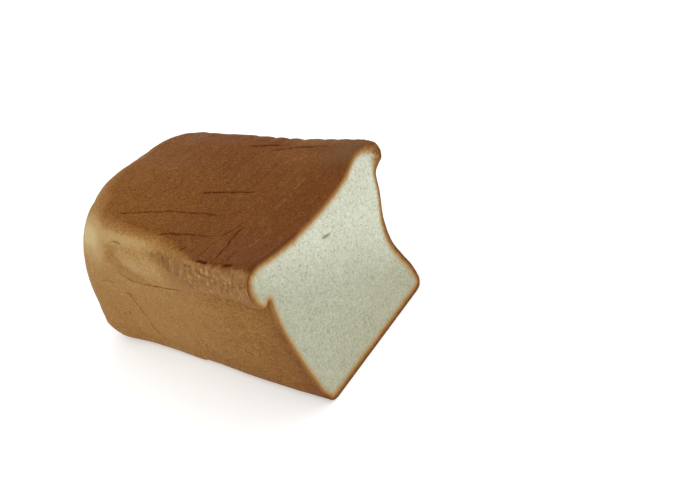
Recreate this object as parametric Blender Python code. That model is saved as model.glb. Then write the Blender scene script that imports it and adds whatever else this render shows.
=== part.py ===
"""Pan loaf of white bread with one end sliced off.

The loaf lies along X with its flat base on z = 0. The sliced face looks towards +X and leans back a
little, the far end is closed and rounded, and the crown has risen over the long sides in two lips.
The outside is one surface: stations run round the base's outline, from the cut along the front side,
round the far end and back along the rear side, and each station carries a profile that goes up the wall,
over the lip and across the crown to the spine, the line along the middle of the crown.
Folds, swellings and an uneven rise are pressed into that surface. Cracks of the crust and pores of the
crumb are cut from it.
"""

import math

import bmesh
import bpy
import numpy as np
from mathutils import Matrix, Vector, noise
from mathutils.bvhtree import BVHTree

MM = 0.001

# Driving sizes, in millimetres. Before it is centred the loaf has its cut at x = 0 and its far end at -X,
# and every place below is given like that.
BASE_HALF_WIDTH = 50.0
BASE_LENGTH = 179.0
BASE_CORNER_RADIUS = 9.0
BASE_EDGE = 3.0
# The sliced face leans back, and is turned a little about the upright line at this y.
CUT_LEAN = math.tan(math.radians(6.8))
CUT_SKEW = math.tan(math.radians(2.9))
CUT_PIVOT = 12.0

# Plain walls: how far outwards they stand at the foot, low down, in the middle and at the top, the
# height of that middle, and the height of the top.
FRONT_FAR = (2.9, 4.7, 6.9, 6.9, 44.0, 76.0)
REAR_FAR = (3.4, 5.0, 6.0, 14.2, 44.0, 89.0)
END = (4.4, 8.0, 10.5, 11.0, 40.0, 61.0)
FRONT_CORNER = (4.9, 9.9, 9.5, 8.7, 26.0, 32.0)
REAR_CORNER = (4.6, 7.5, 9.5, 11.5, 44.0, 85.0)
WALL_TOE_HEIGHT = 0.9
WALL_FOOT_HEIGHT = 4.5
WALL_LOW_HEIGHT = 17.0
WALL_UPPER_SHARES = (0.35, 0.62, 0.73, 0.82, 0.91, 1.0)
WALL_UPPER_CURVE = 1.5
WALL_TOP_LEAD = 4.0

# Walls under a lip, as (outwards from the base's outline, height): base edge, toe, foot, wall, notch under
# the lip, underside of the lip, and the lip's outermost point.
FRONT_CUT = ((-3.0, 0.0), (0.4, 0.9), (3.7, 4.5), (6.4, 17.0), (8.3, 30.0), (9.6, 44.0), (10.5, 58.0),
             (9.9, 72.0), (8.2, 81.6), (12.9, 80.4), (17.2, 83.6), (19.2, 91.0))
FRONT_LIP = ((-3.0, 0.0), (0.2, 0.9), (4.4, 4.5), (6.4, 17.0), (7.4, 30.0), (8.2, 44.0), (9.2, 58.0),
             (9.2, 68.5), (8.7, 76.6), (10.8, 77.6), (13.9, 81.8), (15.6, 90.4))
REAR_CUT = ((-3.0, 0.0), (1.2, 0.9), (3.9, 4.5), (3.0, 15.0), (-1.9, 30.0), (-4.9, 43.0), (-3.3, 58.0),
            (2.8, 73.0), (6.2, 83.5), (11.4, 86.2), (16.0, 87.8), (17.8, 92.5))

# Where along X the profiles give way to each other, as (from, to), and how far a corner's profile
# reaches along the outline to each side of the corner.
FRONT_LIP_RISES = (-96.0, -50.0)
FRONT_LIP_OPENS = (-24.0, 0.0)
REAR_LIP_OPENS = (-165.0, -10.0)
CORNER_REACH = 33.0

# The crown: shoulder height and the dome or dip between the shoulders, at three places along X.
CROWN_FAR_X = -160.0
CROWN_MID_X = -86.0
SHOULDER_FAR, SHOULDER_MID, SHOULDER_CUT = 97.0, 96.1, 103.3
DOME_FAR, DOME_MID, DOME_CUT = 6.7, 2.5, -6.6
SHOULDER_HALF_SPAN = 54.0
LATE_RISE = 1.2
REAR_HOLLOW = 4.0
REAR_HOLLOW_CENTRE = (-154.0, 26.0)
REAR_HOLLOW_SPREAD = (26.0, 20.0)

# How far in from the lip the crown takes to round over.
ROUND_CUT = 9.0
ROUND_FRONT = 26.0
ROUND_REAR = 19.6
ROUND_END = 23.6
ROUND_FRONT_CORNER = 33.2
ROUND_REAR_CORNER = 42.2
SPINE_END_INSET = 30.0
SPINE_START_INSET = 66.0

# Relief of the skin: soft welts along lines, as (line, reach, height), with hollows below zero.
WELTS = (
    (((-127, -54, 87), (-110, -56, 81), (-94, -57, 77), (-74, -58, 76)), 8.0, 1.3),
    (((-136, -54, 84), (-126, -57, 73), (-112, -57, 67), (-95, -57, 66), (-76, -58, 69)), 4.5, -1.0),
    (((-60, -57, 60), (-40, -58, 52)), 12.0, 0.7),
    (((-170, 33, 98), (-160, 45, 97)), 11.0, -1.3),
    (((-138, 53, 98), (-118, 57, 97)), 10.0, -1.0),
    (((-184, 31, 92), (-180, 29, 96)), 5.0, 0.6),
    (((-184, 38, 93), (-180, 44, 94)), 5.0, -0.6),
    (((-186, 43, 91), (-183, 48, 91)), 6.0, -0.8),
    (((-171, -32, 96), (-175, -25, 96)), 6.0, 0.75),
    (((-176, -18, 98), (-175, -10, 101)), 5.0, -0.4),
    (((-175, 7, 100), (-174, 14, 100)), 5.0, -0.6),
    (((-177, 22, 96), (-176, 24, 97)), 5.0, 0.9),
    (((-43, 65, 98), (-15, 65, 101)), 6.0, -0.5),
    (((-167, 58, 91), (-158, 61, 91)), 6.0, 1.1),
    (((-151, 62, 92), (-138, 63, 92)), 7.0, -1.0),
    (((-118, 63, 93), (-112, 63, 93)), 6.0, 0.5),
    (((-14, 44, 99), (6, 44, 99)), 10.0, 3.0),
)
UNEVEN_WAVES = ((34.0, 0.2), (13.0, 0.16))

# Folds where the front lip tore as it rose, and scallops along the rear lip.
FOLD_HEIGHT = 0.8
FOLD_SPACING = 8.2
FOLD_SLANT = 0.55
FOLD_WANDER = 5.0
FOLD_FADE_WAVE = 21.0
FOLD_STRENGTH, FOLD_STRENGTH_CHANGE, FOLD_WEAKEST = 0.55, 0.9, 0.15
FOLDS_START = (-108.0, -86.0)
FOLDS_LOWEST = (90.0, 80.0)
FOLDS_INNERMOST = -52.0
FOLDS_RISE_OVER = 5.0
SCALLOP_HEIGHT = 0.75
SCALLOP_SPACING = 13.5
SCALLOP_MEAN = 2.0 / math.pi
SCALLOPS_START = (-128.0, -108.0)
SCALLOPS_END = (-38.0, -22.0)
SCALLOPS_INNERMOST = 52.0

# Cracks and creases of the crust, as (line, width, depth).
CRACKS = (
    (((-96, -5, 99), (-81, 1, 98), (-62, 6, 98)), 1.9, 1.7),
    (((-137, -38, 101), (-107, -26, 99), (-71, -18, 98)), 1.7, 1.5),
    (((-101, -42, 96), (-76, -38, 97), (-57, -34, 97), (-46, -20, 97)), 1.5, 1.3),
    (((-101, 47, 97), (-77, 54, 96)), 1.9, 1.7),
    (((-83, 48, 96), (-62, 53, 97), (-39, 54, 100)), 1.7, 1.5),
    (((-50, -58, 98), (-38, -57, 100), (-24, -57, 101)), 1.7, 1.5),
    (((-44, -19, 97), (-48, -37, 98), (-51, -56, 98)), 1.2, 0.9),
    (((-141, -49, 90), (-133, -51, 90), (-124, -52, 87)), 1.3, 0.9),
    (((-138, -58, 55), (-133, -58, 51), (-130, -57, 36), (-128, -55, 15)), 0.9, 0.5),
    (((-72, -58, 47), (-81, -56, 28), (-92, -54, 11)), 0.9, 0.5),
)
CRACK_STEP = 4.5
CRACK_WANDER = 0.7
CRACK_ASIDE = Vector((0.3, 1.0, 0.0))
CRACK_FULLNESS_CURVE = 0.5
CRACK_NOISE_STEP = 0.9
CRACK_NOISE_ROW = 7.3
CRACK_PROUD = 0.6

# Pores of the crumb on the sliced face, as (y, height, half length, half width, slant in degrees).
PORES = (
    (-0.8, 80.2, 3.9, 1.0, -13.0),
    (-3.0, 17.5, 1.3, 0.9, 60.0),
    (-39.0, 52.0, 1.2, 0.9, 20.0),
    (-31.0, 36.0, 1.3, 1.0, 75.0),
    (-9.0, 33.0, 1.2, 0.9, 10.0),
    (18.0, 34.0, 1.5, 1.0, 50.0),
    (30.0, 70.0, 1.2, 0.8, 70.0),
    (-48.0, 90.0, 1.2, 0.9, 30.0),
)
PORE_DEPTH = 1.6
PORE_SEGMENTS = 8
PORE_RINGS = 4

# Numbers of stations and of points on each profile.
SIDE_STATIONS = 56
CORNER_STATIONS = 8
END_STATIONS = 14
WALL_STEPS = (1, 1, 2, 2, 2, 2, 2, 2, 2, 2, 2)
CROWN_STEPS = 14
CROWN_CROWDING = 1.6

# Colours from the baked crust and the crumb, with their roughness.
CRUST = ((0.27, 0.125, 0.045, 1.0), 0.6)
CRUMB = ((0.56, 0.56, 0.41, 1.0), 0.9)
SMOOTH_UP_TO = math.radians(40.0)


def eased(t):
    """0 to 1, starting and ending gently."""
    t = np.clip(t, 0.0, 1.0)
    return t * t * (3.0 - 2.0 * t)


def between(x, span):
    """How far x has come through a span, eased."""
    return eased((x - span[0]) / (span[1] - span[0]))


def mixed(a, b, amount):
    return a + (b - a) * amount


def plain_wall(foot, low, middle, top, middle_height, top_height):
    """Profile of a wall without a lip, with as many points as the ones that have it."""
    keys = [(-BASE_EDGE, 0.0), (foot - WALL_FOOT_HEIGHT + WALL_TOE_HEIGHT, WALL_TOE_HEIGHT),
            (foot, WALL_FOOT_HEIGHT), (low, WALL_LOW_HEIGHT),
            ((low + middle) / 2.0, (WALL_LOW_HEIGHT + middle_height) / 2.0), (middle, middle_height)]
    for share in WALL_UPPER_SHARES:
        keys.append((mixed(middle, top, share**WALL_UPPER_CURVE), mixed(middle_height, top_height, share)))
    return np.array(keys)


def smooth_curve(keys, steps):
    """Catmull-Rom curves through rows of keys, (station, key, 2), that end going straight up."""
    before = 2.0 * keys[:, :1] - keys[:, 1:2]
    after = keys[:, -1:] + np.array([0.0, WALL_TOP_LEAD])
    keys = np.concatenate([before, keys, after], axis=1)
    points = []
    for i, count in enumerate(steps, start=1):
        a, b, c, d = (keys[:, i + k] for k in (-1, 0, 1, 2))
        ab, bc, cd = (np.sqrt(np.linalg.norm(q - p, axis=1))[:, None] for p, q in ((a, b), (b, c), (c, d)))
        leave = c - b + bc * ((b - a) / ab - (c - a) / (ab + bc))
        arrive = c - b + bc * ((d - c) / cd - (d - b) / (bc + cd))
        for t in np.arange(count) / count:
            points.append((2 * t**3 - 3 * t**2 + 1) * b + (t**3 - 2 * t**2 + t) * leave
                          + (3 * t**2 - 2 * t**3) * c + (t**3 - t**2) * arrive)
    points.append(keys[:, -2])
    return np.stack(points, axis=1)


def outline():
    """Stations round the base: their places and the ways out, from the cut round the far end to the cut."""
    half, radius = BASE_HALF_WIDTH, BASE_CORNER_RADIUS
    straight = BASE_LENGTH - radius
    places, ways = [], []
    for t in np.arange(SIDE_STATIONS) / SIDE_STATIONS:
        places.append((-t * straight, -half))
        ways.append((0.0, -1.0))
    for angle in np.arange(CORNER_STATIONS) / CORNER_STATIONS * math.pi / 2:
        ways.append((-math.sin(angle), -math.cos(angle)))
        places.append((-straight + radius * ways[-1][0], -half + radius + radius * ways[-1][1]))
    for t in np.arange(END_STATIONS // 2) / (END_STATIONS // 2):
        places.append((-BASE_LENGTH, (radius - half) * (1.0 - t)))
        ways.append((-1.0, 0.0))
    places.append((-BASE_LENGTH, 0.0))
    ways.append((-1.0, 0.0))
    mirrored = [((x, -y), (u, -v)) for (x, y), (u, v) in zip(places[-2::-1], ways[-2::-1])]
    places += [place for place, _ in mirrored]
    ways += [way for _, way in mirrored]
    return np.array(places), np.array(ways)


def profiles(places, ways, rear):
    """The wall's profile at each station, and how far in its crown takes to round over."""
    x = places[:, 0]
    turn = np.arcsin(np.clip(-ways[:, 0], 0.0, 1.0))
    from_corner = (BASE_CORNER_RADIUS * np.abs(turn - math.pi / 4)
                   + np.where(turn > 0.0, 0.0, x + BASE_LENGTH - BASE_CORNER_RADIUS)
                   + np.clip(BASE_HALF_WIDTH - BASE_CORNER_RADIUS - np.abs(places[:, 1]), 0.0, None))
    corner = 0.5 + 0.5 * np.cos(math.pi * np.clip(from_corner / CORNER_REACH, 0.0, 1.0))
    end = eased(turn / (math.pi / 2))
    lip = between(x, FRONT_LIP_RISES)
    opened = between(x, FRONT_LIP_OPENS)
    rear_lip = between(x, REAR_LIP_OPENS)

    def spread(amount):
        return amount[:, None, None]

    front_keys = mixed(mixed(plain_wall(*FRONT_FAR), np.array(FRONT_LIP), spread(lip)),
                       np.array(FRONT_CUT), spread(opened))
    rear_keys = mixed(plain_wall(*REAR_FAR), np.array(REAR_CUT), spread(rear_lip))
    keys = np.where(spread(rear), rear_keys, front_keys)
    keys = mixed(keys, plain_wall(*END), spread(end))
    corner_keys = np.where(spread(rear), plain_wall(*REAR_CORNER), plain_wall(*FRONT_CORNER))
    keys = mixed(keys, corner_keys, spread(corner))

    rounding = np.where(rear, mixed(ROUND_REAR, ROUND_CUT, rear_lip), mixed(ROUND_FRONT, ROUND_CUT, lip))
    rounding = mixed(rounding, ROUND_END, end)
    rounding = mixed(rounding, np.where(rear, ROUND_REAR_CORNER, ROUND_FRONT_CORNER), corner)
    return smooth_curve(keys, WALL_STEPS), rounding


def crown_height(x, y):
    """Height of the crown over a point, away from where it rounds over to the walls."""
    risen = between(x, (CROWN_FAR_X, CROWN_MID_X))
    opened = between(x, (CROWN_MID_X, 0.0)) ** LATE_RISE
    shoulder = mixed(mixed(SHOULDER_FAR, SHOULDER_MID, risen), SHOULDER_CUT, opened)
    dome = mixed(mixed(DOME_FAR, DOME_MID, risen), DOME_CUT, opened)
    hollow = np.exp(-((x - REAR_HOLLOW_CENTRE[0]) / REAR_HOLLOW_SPREAD[0]) ** 2
                    - ((y - REAR_HOLLOW_CENTRE[1]) / REAR_HOLLOW_SPREAD[1]) ** 2)
    across = np.clip(np.abs(y) / SHOULDER_HALF_SPAN, 0.0, 1.0)
    return shoulder + dome * (1.0 - across**2) - REAR_HOLLOW * hollow


def leaned(points):
    """The points with the cut leaned and skewed, less and less towards the far end."""
    near_cut = np.clip(1.0 + points[..., 0] / (BASE_LENGTH - BASE_CORNER_RADIUS), 0.0, 1.0) ** 2
    moved = points.copy()
    moved[..., 0] -= near_cut * (CUT_LEAN * points[..., 2] + CUT_SKEW * (points[..., 1] - CUT_PIVOT))
    return moved


def distance_to_line(points, line):
    """Distance of each point from a line of straight pieces."""
    line = np.array(line, float)
    nearest = np.full(points.shape[:-1], np.inf)
    for start, end in zip(line[:-1], line[1:]):
        along = end - start
        t = np.clip((points - start) @ along / (along @ along), 0.0, 1.0)
        nearest = np.minimum(nearest, np.linalg.norm(points - start - t[..., None] * along, axis=-1))
    return nearest


def uneven(points, wavelength):
    """Smooth noise between -1 and 1 at each point."""
    flat = points.reshape(-1, 3) / wavelength
    return np.array([noise.noise(Vector(p)) for p in flat]).reshape(points.shape[:-1])


def relief(skin):
    """How far the skin stands out, beyond the plain form, at each of its points."""
    x, y, z = skin[..., 0], skin[..., 1], skin[..., 2]
    height = sum(rise * uneven(skin, wavelength) for wavelength, rise in UNEVEN_WAVES)
    for line, reach, rise in WELTS:
        height += rise * np.exp(-(distance_to_line(skin, line) / reach) ** 2)

    wander = FOLD_WANDER * uneven(skin + np.array([0.0, 0.0, 200.0]), 15.0)
    fold = np.sin(2.0 * math.pi * (x + FOLD_SLANT * (z - FOLDS_LOWEST[0]) + wander) / FOLD_SPACING)
    towards_cut = np.clip((x - FOLDS_START[0]) / -FOLDS_START[0], 0.0, 1.0)
    lowest = mixed(FOLDS_LOWEST[0], FOLDS_LOWEST[1], towards_cut)
    torn = (between(x, FOLDS_START) * eased((z - lowest) / FOLDS_RISE_OVER)
            * eased((FOLDS_INNERMOST - y) / FOLDS_RISE_OVER))
    strength = np.clip(FOLD_STRENGTH + FOLD_STRENGTH_CHANGE * uneven(skin, FOLD_FADE_WAVE), FOLD_WEAKEST, 1.0)
    height += FOLD_HEIGHT * fold * strength * torn

    scallop = np.abs(np.sin(math.pi * (x + wander) / SCALLOP_SPACING)) - SCALLOP_MEAN
    along_rear = between(x, SCALLOPS_START) * (1.0 - between(x, SCALLOPS_END))
    height += SCALLOP_HEIGHT * scallop * along_rear * eased((y - SCALLOPS_INNERMOST) / FOLDS_RISE_OVER)
    return height * eased(z / WALL_LOW_HEIGHT)


def surface():
    """Points of the outside, (station, level, 3)."""
    places, ways = outline()
    count = len(places)
    middle = (count - 1) // 2
    rear = np.arange(count) > middle
    walls, rounding = profiles(places, ways, rear)
    wall = np.concatenate([places[:, None] + ways[:, None] * walls[..., :1], walls[..., 1:]], axis=2)

    step = np.minimum(np.arange(count), count - 1 - np.arange(count))
    start = SPINE_START_INSET - BASE_LENGTH
    end = SPINE_END_INSET - BASE_LENGTH
    spine = np.interp(step, (0, SIDE_STATIONS, middle), (0.0, start, end))
    lip = wall[:, -1]
    inward = np.stack([spine, np.zeros(count)], axis=1) - lip[:, :2]
    share = (np.arange(1, CROWN_STEPS + 1) / CROWN_STEPS) ** CROWN_CROWDING
    plan = lip[:, None, :2] + inward[:, None] * share[None, :, None]
    inset = np.linalg.norm(inward, axis=1)[:, None] * share
    over = np.sqrt(1.0 - np.clip(1.0 - inset / rounding[:, None], 0.0, 1.0) ** 2)
    height = mixed(lip[:, 2:3], crown_height(plan[..., 0], plan[..., 1]), over)
    points = np.concatenate([wall, np.concatenate([plan, height[..., None]], axis=2)], axis=1)

    up = np.concatenate([np.zeros(walls.shape[:2]), over], axis=1)
    sideways = ways[:, None] * np.sqrt(1.0 - up[..., None] ** 2)
    outward = np.concatenate([sideways, up[..., None]], axis=2)
    return leaned(points + outward * relief(leaned(points))[..., None])


def loaf_mesh(points, materials):
    """The closed solid: the outside, the flat base and the sliced face."""
    stations, levels, _ = points.shape
    solid = bmesh.new()
    grid = []
    for i in range(stations):
        column = [solid.verts.new(points[i, j] * MM) for j in range(levels - 1)]
        other = stations - 1 - i
        column.append(grid[other][-1] if other < i else solid.verts.new(points[i, -1] * MM))
        grid.append(column)
    for i in range(stations - 1):
        for j in range(levels - 1):
            corners = (grid[i][j], grid[i][j + 1], grid[i + 1][j + 1], grid[i + 1][j])
            solid.faces.new(dict.fromkeys(corners))
    solid.faces.new([column[0] for column in grid])
    solid.faces.new(grid[-1][:-1] + grid[0][::-1]).material_index = 1
    return finished_mesh("loaf", solid, materials)


def finished_mesh(name, solid, materials):
    """A mesh from a closed bmesh, its faces pointing out and shaded smooth up to a small angle."""
    bmesh.ops.recalc_face_normals(solid, faces=solid.faces)
    mesh = bpy.data.meshes.new(name)
    solid.to_mesh(mesh)
    solid.free()
    for surface_material in materials:
        mesh.materials.append(surface_material)
    mesh.shade_smooth()
    mesh.set_sharp_from_angle(angle=SMOOTH_UP_TO)
    return mesh


def crack_route(skin, line, centre, phase):
    """Places on the skin along a crack, with the skin's normals: each piece of the line in equal steps."""
    route = []
    line = [Vector(point) - centre for point in line]
    for start, end in zip(line[:-1], line[1:]):
        steps = max(1, round((end - start).length / CRACK_STEP))
        route += [start.lerp(end, k / steps) for k in range(steps)]
    route.append(line[-1])
    placed = []
    for k, point in enumerate(route):
        aside = CRACK_ASIDE * CRACK_WANDER * noise.noise(Vector((phase, CRACK_NOISE_STEP * k, 0.5)))
        place, normal, _, _ = skin.find_nearest((point + aside) * MM)
        placed.append((place / MM, normal))
    return placed


def crack_cutter(skin, centre, materials):
    """Blades with a V section, tapered to a point at both ends, laid along the cracks."""
    blades = bmesh.new()
    for number, (line, width, depth) in enumerate(CRACKS):
        route = crack_route(skin, line, centre, CRACK_NOISE_ROW * number)
        last = len(route) - 1
        rings = []
        for k, (place, normal) in enumerate(route):
            if k in (0, last):
                rings.append([blades.verts.new((place + normal * CRACK_PROUD) * MM)])
                continue
            along = (route[k + 1][0] - route[k - 1][0]).normalized()
            aside = normal.cross(along).normalized()
            fullness = math.sin(math.pi * k / last) ** CRACK_FULLNESS_CURVE
            half = width / 2.0 * fullness * (1.0 + CRACK_PROUD / depth)
            top = place + normal * CRACK_PROUD
            corners = (top + aside * half, place - normal * depth * fullness, top - aside * half)
            rings.append([blades.verts.new(corner * MM) for corner in corners])
        for here, there in zip(rings[:-1], rings[1:]):
            for k in range(3):
                a, b = k, (k + 1) % 3
                corners = (here[a % len(here)], here[b % len(here)],
                           there[b % len(there)], there[a % len(there)])
                blades.faces.new(dict.fromkeys(corners))
    return finished_mesh("crack_blades", blades, materials)


def pore_cutter(centre, materials):
    """Flattened balls, half sunk in the sliced face."""
    balls = bmesh.new()
    lean = Matrix.Rotation(math.atan(-CUT_LEAN), 4, "Y")
    for y, z, half_length, half_width, slant in PORES:
        place = Vector((-CUT_LEAN * z - CUT_SKEW * (y - CUT_PIVOT), y, z)) - centre
        turn = Matrix.Rotation(math.radians(slant), 4, "X")
        size = Matrix.Diagonal((PORE_DEPTH, half_length, half_width, 1.0))
        where = Matrix.Translation(place * MM) @ lean @ turn @ size @ Matrix.Scale(MM, 4)
        bmesh.ops.create_uvsphere(balls, u_segments=PORE_SEGMENTS, v_segments=PORE_RINGS, radius=1.0,
                                  matrix=where)
    for face in balls.faces:
        face.material_index = 1
    return finished_mesh("pore_balls", balls, materials)


def cut_away(loaf, cutter_mesh):
    """Takes a cutter's shape from the loaf."""
    cutter = bpy.data.objects.new(cutter_mesh.name, cutter_mesh)
    bpy.context.scene.collection.objects.link(cutter)
    cutter.hide_render = True
    cutter.display_type = "WIRE"
    cut = loaf.modifiers.new(cutter_mesh.name, "BOOLEAN")
    cut.operation = "DIFFERENCE"
    cut.solver = "EXACT"
    cut.object = cutter


def material(name, colour, roughness):
    made = bpy.data.materials.new(name)
    made.use_nodes = True
    shader = made.node_tree.nodes["Principled BSDF"]
    shader.inputs["Base Color"].default_value = colour
    shader.inputs["Roughness"].default_value = roughness
    shader.inputs["Metallic"].default_value = 0.0
    return made


def main():
    for old in list(bpy.data.objects):
        bpy.data.objects.remove(old)
    materials = (material("crust", *CRUST), material("crumb", *CRUMB))
    points = surface()
    corners = points.reshape(-1, 3)
    centre = (corners.min(axis=0) + corners.max(axis=0)) / 2.0 * np.array([1.0, 1.0, 0.0])
    loaf = bpy.data.objects.new("loaf", loaf_mesh(points - centre, materials))
    bpy.context.scene.collection.objects.link(loaf)
    skin = BVHTree.FromPolygons([vertex.co for vertex in loaf.data.vertices],
                                [face.vertices for face in loaf.data.polygons])
    cut_away(loaf, crack_cutter(skin, Vector(centre), materials))
    cut_away(loaf, pore_cutter(Vector(centre), materials))


main()
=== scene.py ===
import math

import bmesh
import bpy
import numpy as np
from bpy.props import FloatProperty, FloatVectorProperty, PointerProperty
from mathutils import Matrix, Vector, noise
from mathutils.geometry import delaunay_2d_cdt
from mathutils.kdtree import KDTree


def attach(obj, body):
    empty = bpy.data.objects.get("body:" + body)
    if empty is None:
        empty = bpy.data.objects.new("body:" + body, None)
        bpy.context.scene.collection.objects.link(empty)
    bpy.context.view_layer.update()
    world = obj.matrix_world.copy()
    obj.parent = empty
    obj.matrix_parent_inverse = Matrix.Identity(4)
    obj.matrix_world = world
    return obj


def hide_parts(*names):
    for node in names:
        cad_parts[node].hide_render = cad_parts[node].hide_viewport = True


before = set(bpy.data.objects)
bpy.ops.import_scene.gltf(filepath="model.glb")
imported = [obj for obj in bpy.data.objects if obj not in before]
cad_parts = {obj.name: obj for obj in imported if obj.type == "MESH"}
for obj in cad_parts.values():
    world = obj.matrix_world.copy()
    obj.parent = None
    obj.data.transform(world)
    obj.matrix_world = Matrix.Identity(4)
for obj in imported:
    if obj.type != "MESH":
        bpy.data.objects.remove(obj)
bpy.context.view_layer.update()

bl_info = {
    "name": "Sliced pan loaf",
    "version": (1, 0, 0),
    "blender": (4, 5, 0),
    "location": "3D View > Sidebar > Loaf",
    "description": "A pan loaf of white bread with one end sliced off, its crust, its crumb and its stage",
    "category": "Add Mesh",
}

MM = 0.001
# The axes of a point, and those of a place on the sliced face, (y, height).
X, Y, Z = 0, 1, 2
FACE_Y, FACE_Z = 0, 1

# The plain form in millimetres, with the cut at x = 0 and the far end at -X, as the solid has it.
BASE_HALF_WIDTH = 50.0
BASE_LENGTH = 179.0
BASE_CORNER_RADIUS = 9.0
BASE_EDGE = 3.0
# The sliced face leans back, and is turned a little about the upright line at this y.
CUT_LEAN = math.tan(math.radians(6.8))
CUT_SKEW = math.tan(math.radians(2.9))
CUT_PIVOT = 12.0

# Plain walls: how far outwards they stand at the foot, low down, in the middle and at the top, the
# height of that middle, and the height of the top.
FRONT_FAR = (2.9, 4.7, 6.9, 6.9, 44.0, 76.0)
REAR_FAR = (3.4, 5.0, 6.0, 14.2, 44.0, 89.0)
END = (4.4, 8.0, 10.5, 11.0, 40.0, 61.0)
FRONT_CORNER = (4.9, 9.9, 9.5, 8.7, 26.0, 32.0)
REAR_CORNER = (4.6, 7.5, 9.5, 11.5, 44.0, 85.0)
WALL_TOE_HEIGHT = 0.9
WALL_FOOT_HEIGHT = 4.5
WALL_LOW_HEIGHT = 17.0
WALL_UPPER_SHARES = (0.35, 0.62, 0.73, 0.82, 0.91, 1.0)
WALL_UPPER_CURVE = 1.5
WALL_TOP_LEAD = 4.0

# Walls under a lip, as (outwards from the base's outline, height): base edge, toe, foot, wall, notch under
# the lip, underside of the lip, and the lip's outermost point.
FRONT_CUT = ((-3.0, 0.0), (0.4, 0.9), (3.7, 4.5), (6.4, 17.0), (8.3, 30.0), (9.6, 44.0), (10.5, 58.0),
             (9.9, 72.0), (8.2, 81.6), (12.9, 80.4), (17.2, 83.6), (19.2, 91.0))
FRONT_LIP = ((-3.0, 0.0), (0.2, 0.9), (4.4, 4.5), (6.4, 17.0), (7.4, 30.0), (8.2, 44.0), (9.2, 58.0),
             (9.2, 68.5), (8.7, 76.6), (10.8, 77.6), (13.9, 81.8), (15.6, 90.4))
REAR_CUT = ((-3.0, 0.0), (1.2, 0.9), (3.9, 4.5), (3.0, 15.0), (-1.9, 30.0), (-4.9, 43.0), (-3.3, 58.0),
            (2.8, 73.0), (6.2, 83.5), (11.4, 86.2), (16.0, 87.8), (17.8, 92.5))

# Where along X the profiles give way to each other, and how far a corner's profile reaches.
FRONT_LIP_RISES = (-96.0, -50.0)
FRONT_LIP_OPENS = (-24.0, 0.0)
REAR_LIP_OPENS = (-165.0, -10.0)
CORNER_REACH = 33.0

# The crown: shoulder height and the dome or dip between the shoulders, at three places along X.
CROWN_FAR_X = -160.0
CROWN_MID_X = -86.0
SHOULDER_FAR, SHOULDER_MID, SHOULDER_CUT = 97.0, 96.1, 103.3
DOME_FAR, DOME_MID, DOME_CUT = 6.7, 2.5, -6.6
SHOULDER_HALF_SPAN = 54.0
LATE_RISE = 1.2
REAR_HOLLOW = 4.0
REAR_HOLLOW_CENTRE = (-154.0, 26.0)
REAR_HOLLOW_SPREAD = (26.0, 20.0)

# The frame's origin in this form.
FORM_CENTRE = np.array([-93.6395, -1.01985, 0.0])

# How far in from the lip the crown takes to round over.
ROUND_CUT = 9.0
ROUND_FRONT = 26.0
ROUND_REAR = 19.6
ROUND_END = 23.6
ROUND_FRONT_CORNER = 33.2
ROUND_REAR_CORNER = 42.2
SPINE_END_INSET = 30.0
SPINE_START_INSET = 66.0

# Soft welts of the skin, as (line, reach, height), with hollows below zero.
WELTS = (
    (((-127, -54, 87), (-110, -56, 81), (-94, -57, 77), (-74, -58, 76)), 8.0, 1.3),
    (((-136, -54, 84), (-126, -57, 73), (-112, -57, 67), (-95, -57, 66), (-76, -58, 69)), 4.5, -1.0),
    (((-60, -57, 60), (-40, -58, 52)), 12.0, 0.7),
    (((-170, 33, 98), (-160, 45, 97)), 11.0, -1.3),
    (((-138, 53, 98), (-118, 57, 97)), 10.0, -1.0),
    (((-184, 31, 92), (-180, 29, 96)), 5.0, 0.6),
    (((-184, 38, 93), (-180, 44, 94)), 5.0, -0.6),
    (((-186, 43, 91), (-183, 48, 91)), 6.0, -0.8),
    (((-171, -32, 96), (-175, -25, 96)), 6.0, 0.75),
    (((-176, -18, 98), (-175, -10, 101)), 5.0, -0.4),
    (((-175, 7, 100), (-174, 14, 100)), 5.0, -0.6),
    (((-177, 22, 96), (-176, 24, 97)), 5.0, 0.9),
    (((-43, 65, 98), (-15, 65, 101)), 6.0, -0.5),
    (((-167, 58, 91), (-158, 61, 91)), 6.0, 1.1),
    (((-151, 62, 92), (-138, 63, 92)), 7.0, -1.0),
    (((-118, 63, 93), (-112, 63, 93)), 6.0, 0.5),
    (((-14, 44, 99), (6, 44, 99)), 10.0, 3.0),
)
UNEVEN_WAVES = ((34.0, 0.2), (13.0, 0.16))

# Folds where the front lip tore as it rose, and scallops along the rear lip.
FOLD_HEIGHT = 0.3
FOLD_SPACING = 8.2
FOLD_SLANT = 0.55
FOLD_WANDER = 5.0
FOLD_FADE_WAVE = 21.0
FOLD_STRENGTH, FOLD_STRENGTH_CHANGE, FOLD_WEAKEST = 0.55, 0.9, 0.15
FOLDS_START = (-108.0, -86.0)
FOLDS_LOWEST = (90.0, 80.0)
FOLDS_INNERMOST = -52.0
FOLDS_RISE_OVER = 5.0
SCALLOP_HEIGHT = 0.75
SCALLOP_SPACING = 13.5
SCALLOP_MEAN = 2.0 / math.pi
SCALLOPS_START = (-128.0, -108.0)
SCALLOPS_END = (-38.0, -22.0)
SCALLOPS_INNERMOST = 52.0

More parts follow.
